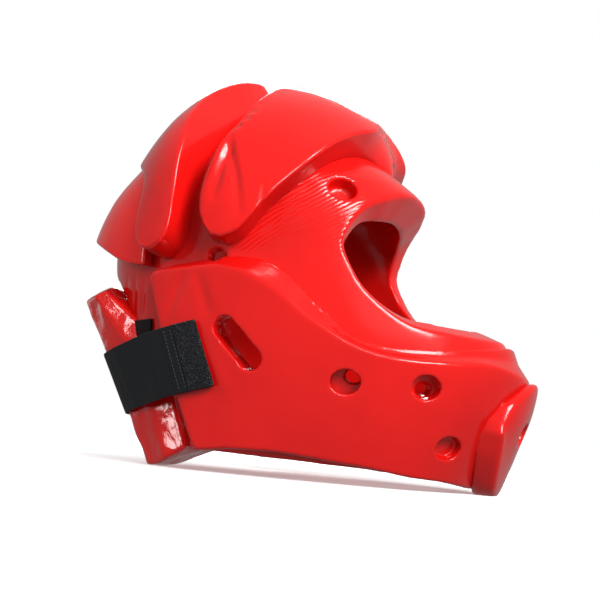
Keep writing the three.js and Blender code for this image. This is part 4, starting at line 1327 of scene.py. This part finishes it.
def woven_black(name, color, rib_scale, rib_height, speckle, painted_glint):
    material, tree, shader = new_material(
        name, Roughness=0.75, Specular_IOR_Level=0.3, Sheen_Weight=0.04, Sheen_Roughness=0.5
    )
    link = tree.links.new
    share = node(tree, "ShaderNodeAttribute", attribute_name="weave").outputs["Vector"]
    ribs = node(tree, "ShaderNodeTexWave", bands_direction="Y", Scale=rib_scale, Distortion=0.6, Detail=1.0)
    link(share, ribs.inputs["Vector"])
    threads = noise_on(tree, share, Scale=1.6, Detail=2.0)
    height = node(tree, "ShaderNodeMath", operation="MULTIPLY_ADD")
    link(threads, height.inputs[0])
    height.inputs[1].default_value = speckle
    link(ribs.outputs["Fac"], height.inputs[2])
    link(bump_on(tree, height.outputs["Value"], 0.7, rib_height), shader.inputs["Normal"])

    dark, light = ([c * part for c in color] for part in (DARKER, LIGHTER))
    ramp = color_ramp(tree, (0.35, dark), (0.72, light))
    link(threads, ramp.inputs["Fac"])
    # Pale dots added to the base colour are painted glints: light caught on hooks and threads.
    painted_glints = color_ramp(tree, (0.66, (0, 0, 0)), (0.76, [painted_glint * c for c in PAINTED_GLINT_TINT]))
    link(noise_on(tree, share, Scale=2.0, Detail=0.0), painted_glints.inputs["Fac"])
    tint = node(tree, "ShaderNodeMix", data_type="RGBA", blend_type="ADD", Factor=1)
    link(ramp.outputs["Color"], tint.inputs[6])
    link(painted_glints.outputs["Color"], tint.inputs[7])
    link(tint.outputs[2], shader.inputs["Base Color"])
    return material


elastic, hook_tape, loop_pile = (woven_black(*row) for row in WEAVES)
print("weaves:", elastic.name, hook_tape.name, loop_pile.name)

# %% Strap
STRAP_COLUMNS, STRAP_ACROSS = 220, 20
RIBBON_SHARP = math.radians(50)


def ribbon(name, length, width, columns, rows, place, wall):
    band = bmesh.new()
    weave = band.verts.layers.float_vector.new("weave")
    bmesh.ops.create_grid(band, x_segments=columns, y_segments=rows, size=0.5)
    for v in band.verts:
        v[weave] = (v.co.x * length, v.co.y * width, 0)
    along, across, _ = np.array([v[weave] for v in band.verts]).T
    for v, co in zip(band.verts, in_frame(place(along, across / width))):
        v.co = co
    bmesh.ops.recalc_face_normals(band, faces=band.faces)
    band.normal_update()
    for v in band.verts:
        v.co += v.normal * wall / 2000
    bmesh.ops.solidify(band, geom=band.faces[:], thickness=wall / 1000)
    bmesh.ops.recalc_face_normals(band, faces=band.faces)
    rims = [e for e in band.edges if e.calc_face_angle(0) > RIBBON_SHARP]
    round_edges(band, rims, wall / 4000, 2)
    return soften(new_piece(name, band), levels=1)


strap = ribbon(
    "neck_strap_elastic", 2 * HALF_STRAP, STRAP_WIDTH, STRAP_COLUMNS, STRAP_ACROSS, strap_places, STRAP_WALL
)
dress(strap, elastic, "black_elastic", "neck_strap")

# %% Hook tabs and loop patches
TAB_END, TAB_WALL, TAB_LAP = -2, 2.6, 2
TAB_LENGTH = STRAP_END + TAB_LAP - TAB_END
TAB_COLUMNS, TAB_ACROSS = 20, 48
LOOP_ROWS = [
    # lower edge, upper edge: each forward, side, up
    ((-95, 67, 52), (-99, 70, 93)), ((-80, 77, 50), (-84, 80, 93.5)),
]
LOOP_LENGTH, LOOP_WIDTH, LOOP_WALL, LOOP_LIFT = 17, 42, 1.6, 1.2
LOOP_COLUMNS, LOOP_ACROSS = 16, 32


def tab_place(sign):
    def place(along, share):
        out = STRAP_END + TAB_LAP - (along + TAB_LENGTH / 2)
        places = cheek_places(out, share, STRAP_LIFT + (TAB_WALL - STRAP_WALL) / 2)
        return places * (sign, 1, 1)
    return place


def patch_place(sign):
    low, high = (np.array([spot(*row[edge]) for row in LOOP_ROWS]) * (sign, 1, 1) for edge in (0, 1))

    def place(along, share):
        at = along / LOOP_LENGTH + 0.5
        start = low[0] + (low[1] - low[0]) * at[:, None]
        end = high[0] + (high[1] - high[0]) * at[:, None]
        return lifted(start + (end - start) * (share[:, None] + 0.5), LOOP_LIFT)
    return place


for side, sign in (("right", -1), ("left", 1)):
    tab = ribbon(
        f"hook_tab_{side}_tape", TAB_LENGTH, STRAP_WIDTH, TAB_COLUMNS, TAB_ACROSS, tab_place(sign), TAB_WALL
    )
    dress(tab, hook_tape, "black_hook", f"hook_tab_{side}")
    patch = ribbon(
        f"loop_patch_{side}_pile", LOOP_LENGTH, LOOP_WIDTH, LOOP_COLUMNS, LOOP_ACROSS,
        patch_place(sign), LOOP_WALL,
    )
    dress(patch, loop_pile, "black_loop", f"loop_patch_{side}")

# %% [markdown]
# ### Stitches
#
# Two rows of stitches hold the hem at each end of the elastic, beside the hook tab. A stitch is a small
# stretched ball, half sunk in the band. All of them are one mesh, because dozens of objects would only
# clutter the scene.

# %% Stitches
STITCH_LINES = (20.2, 15.6)
STITCH_PITCH, STITCH_LENGTH, STITCH_WIDTH = 2.4, 1.7, 0.5
STITCH_COUNT = int(STRAP_WIDTH / STITCH_PITCH) - 1
THREAD_GREY = (0.05, 0.055, 0.06, 1)
thread = new_material("thread", Base_Color=THREAD_GREY, Roughness=0.6)[0]
rows = (np.arange(STITCH_COUNT) - (STITCH_COUNT - 1) / 2) * STITCH_PITCH / STRAP_WIDTH
half_stitch = STITCH_LENGTH / STRAP_WIDTH / 2
sewn = bmesh.new()
for line in STITCH_LINES:
    outs = np.full(STITCH_COUNT, line)
    starts, ends = (
        cheek_places(outs, rows + step * half_stitch, STRAP_LIFT + STRAP_WALL / 2) for step in (-1, 1)
    )
    for sign in (-1, 1):
        for start, end in zip(in_frame(starts * (sign, 1, 1)), in_frame(ends * (sign, 1, 1))):
            run = Vector(end - start)
            turn = run.to_track_quat("X", "Z").to_matrix().to_4x4()
            turn.translation = Vector((start + end) / 2)
            size = Matrix.Diagonal((run.length / 2, STITCH_WIDTH / 2000, STITCH_WIDTH / 2000, 1))
            bmesh.ops.create_uvsphere(sewn, u_segments=8, v_segments=6, radius=1, matrix=turn @ size)
stitches = new_piece("strap_stitches", sewn)
stitches.data.shade_smooth()
stitches.data.materials.append(thread)
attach(stitches, "root")
tell(stitches)

# %% [markdown]
# ## Lights for single pieces
#
# Some lights would spoil one piece while they help another. Light linking keeps each of them to the pieces
# in its row, as a photographer shades off a lamp with a card.

# %% Lights for single pieces
LIT_ALONE = [
    # light, the pieces that it is kept to
    ("back_light", back_flap, crown_pad, head_shell, jaw_guard),
    ("strip_light", back_flap),
    ("glint_light", neck_pad),
    ("pad_light", neck_pad),
    ("brow_light", head_shell),
    ("hollow_light", head_shell),
    ("card_light", neck_pad),
    ("edge_light", forehead_pad, crown_pad),
    ("lip_light", jaw_guard),
    ("chin_light", chin_pad),
]
for name, *pieces in LIT_ALONE:
    lit = bpy.data.collections.new(name + "_pieces")
    for piece in pieces:
        lit.objects.link(piece)
    lights[name].light_linking.receiver_collection = lit
print("lights kept to single pieces:", len(LIT_ALONE), "of", len(LIGHTS))
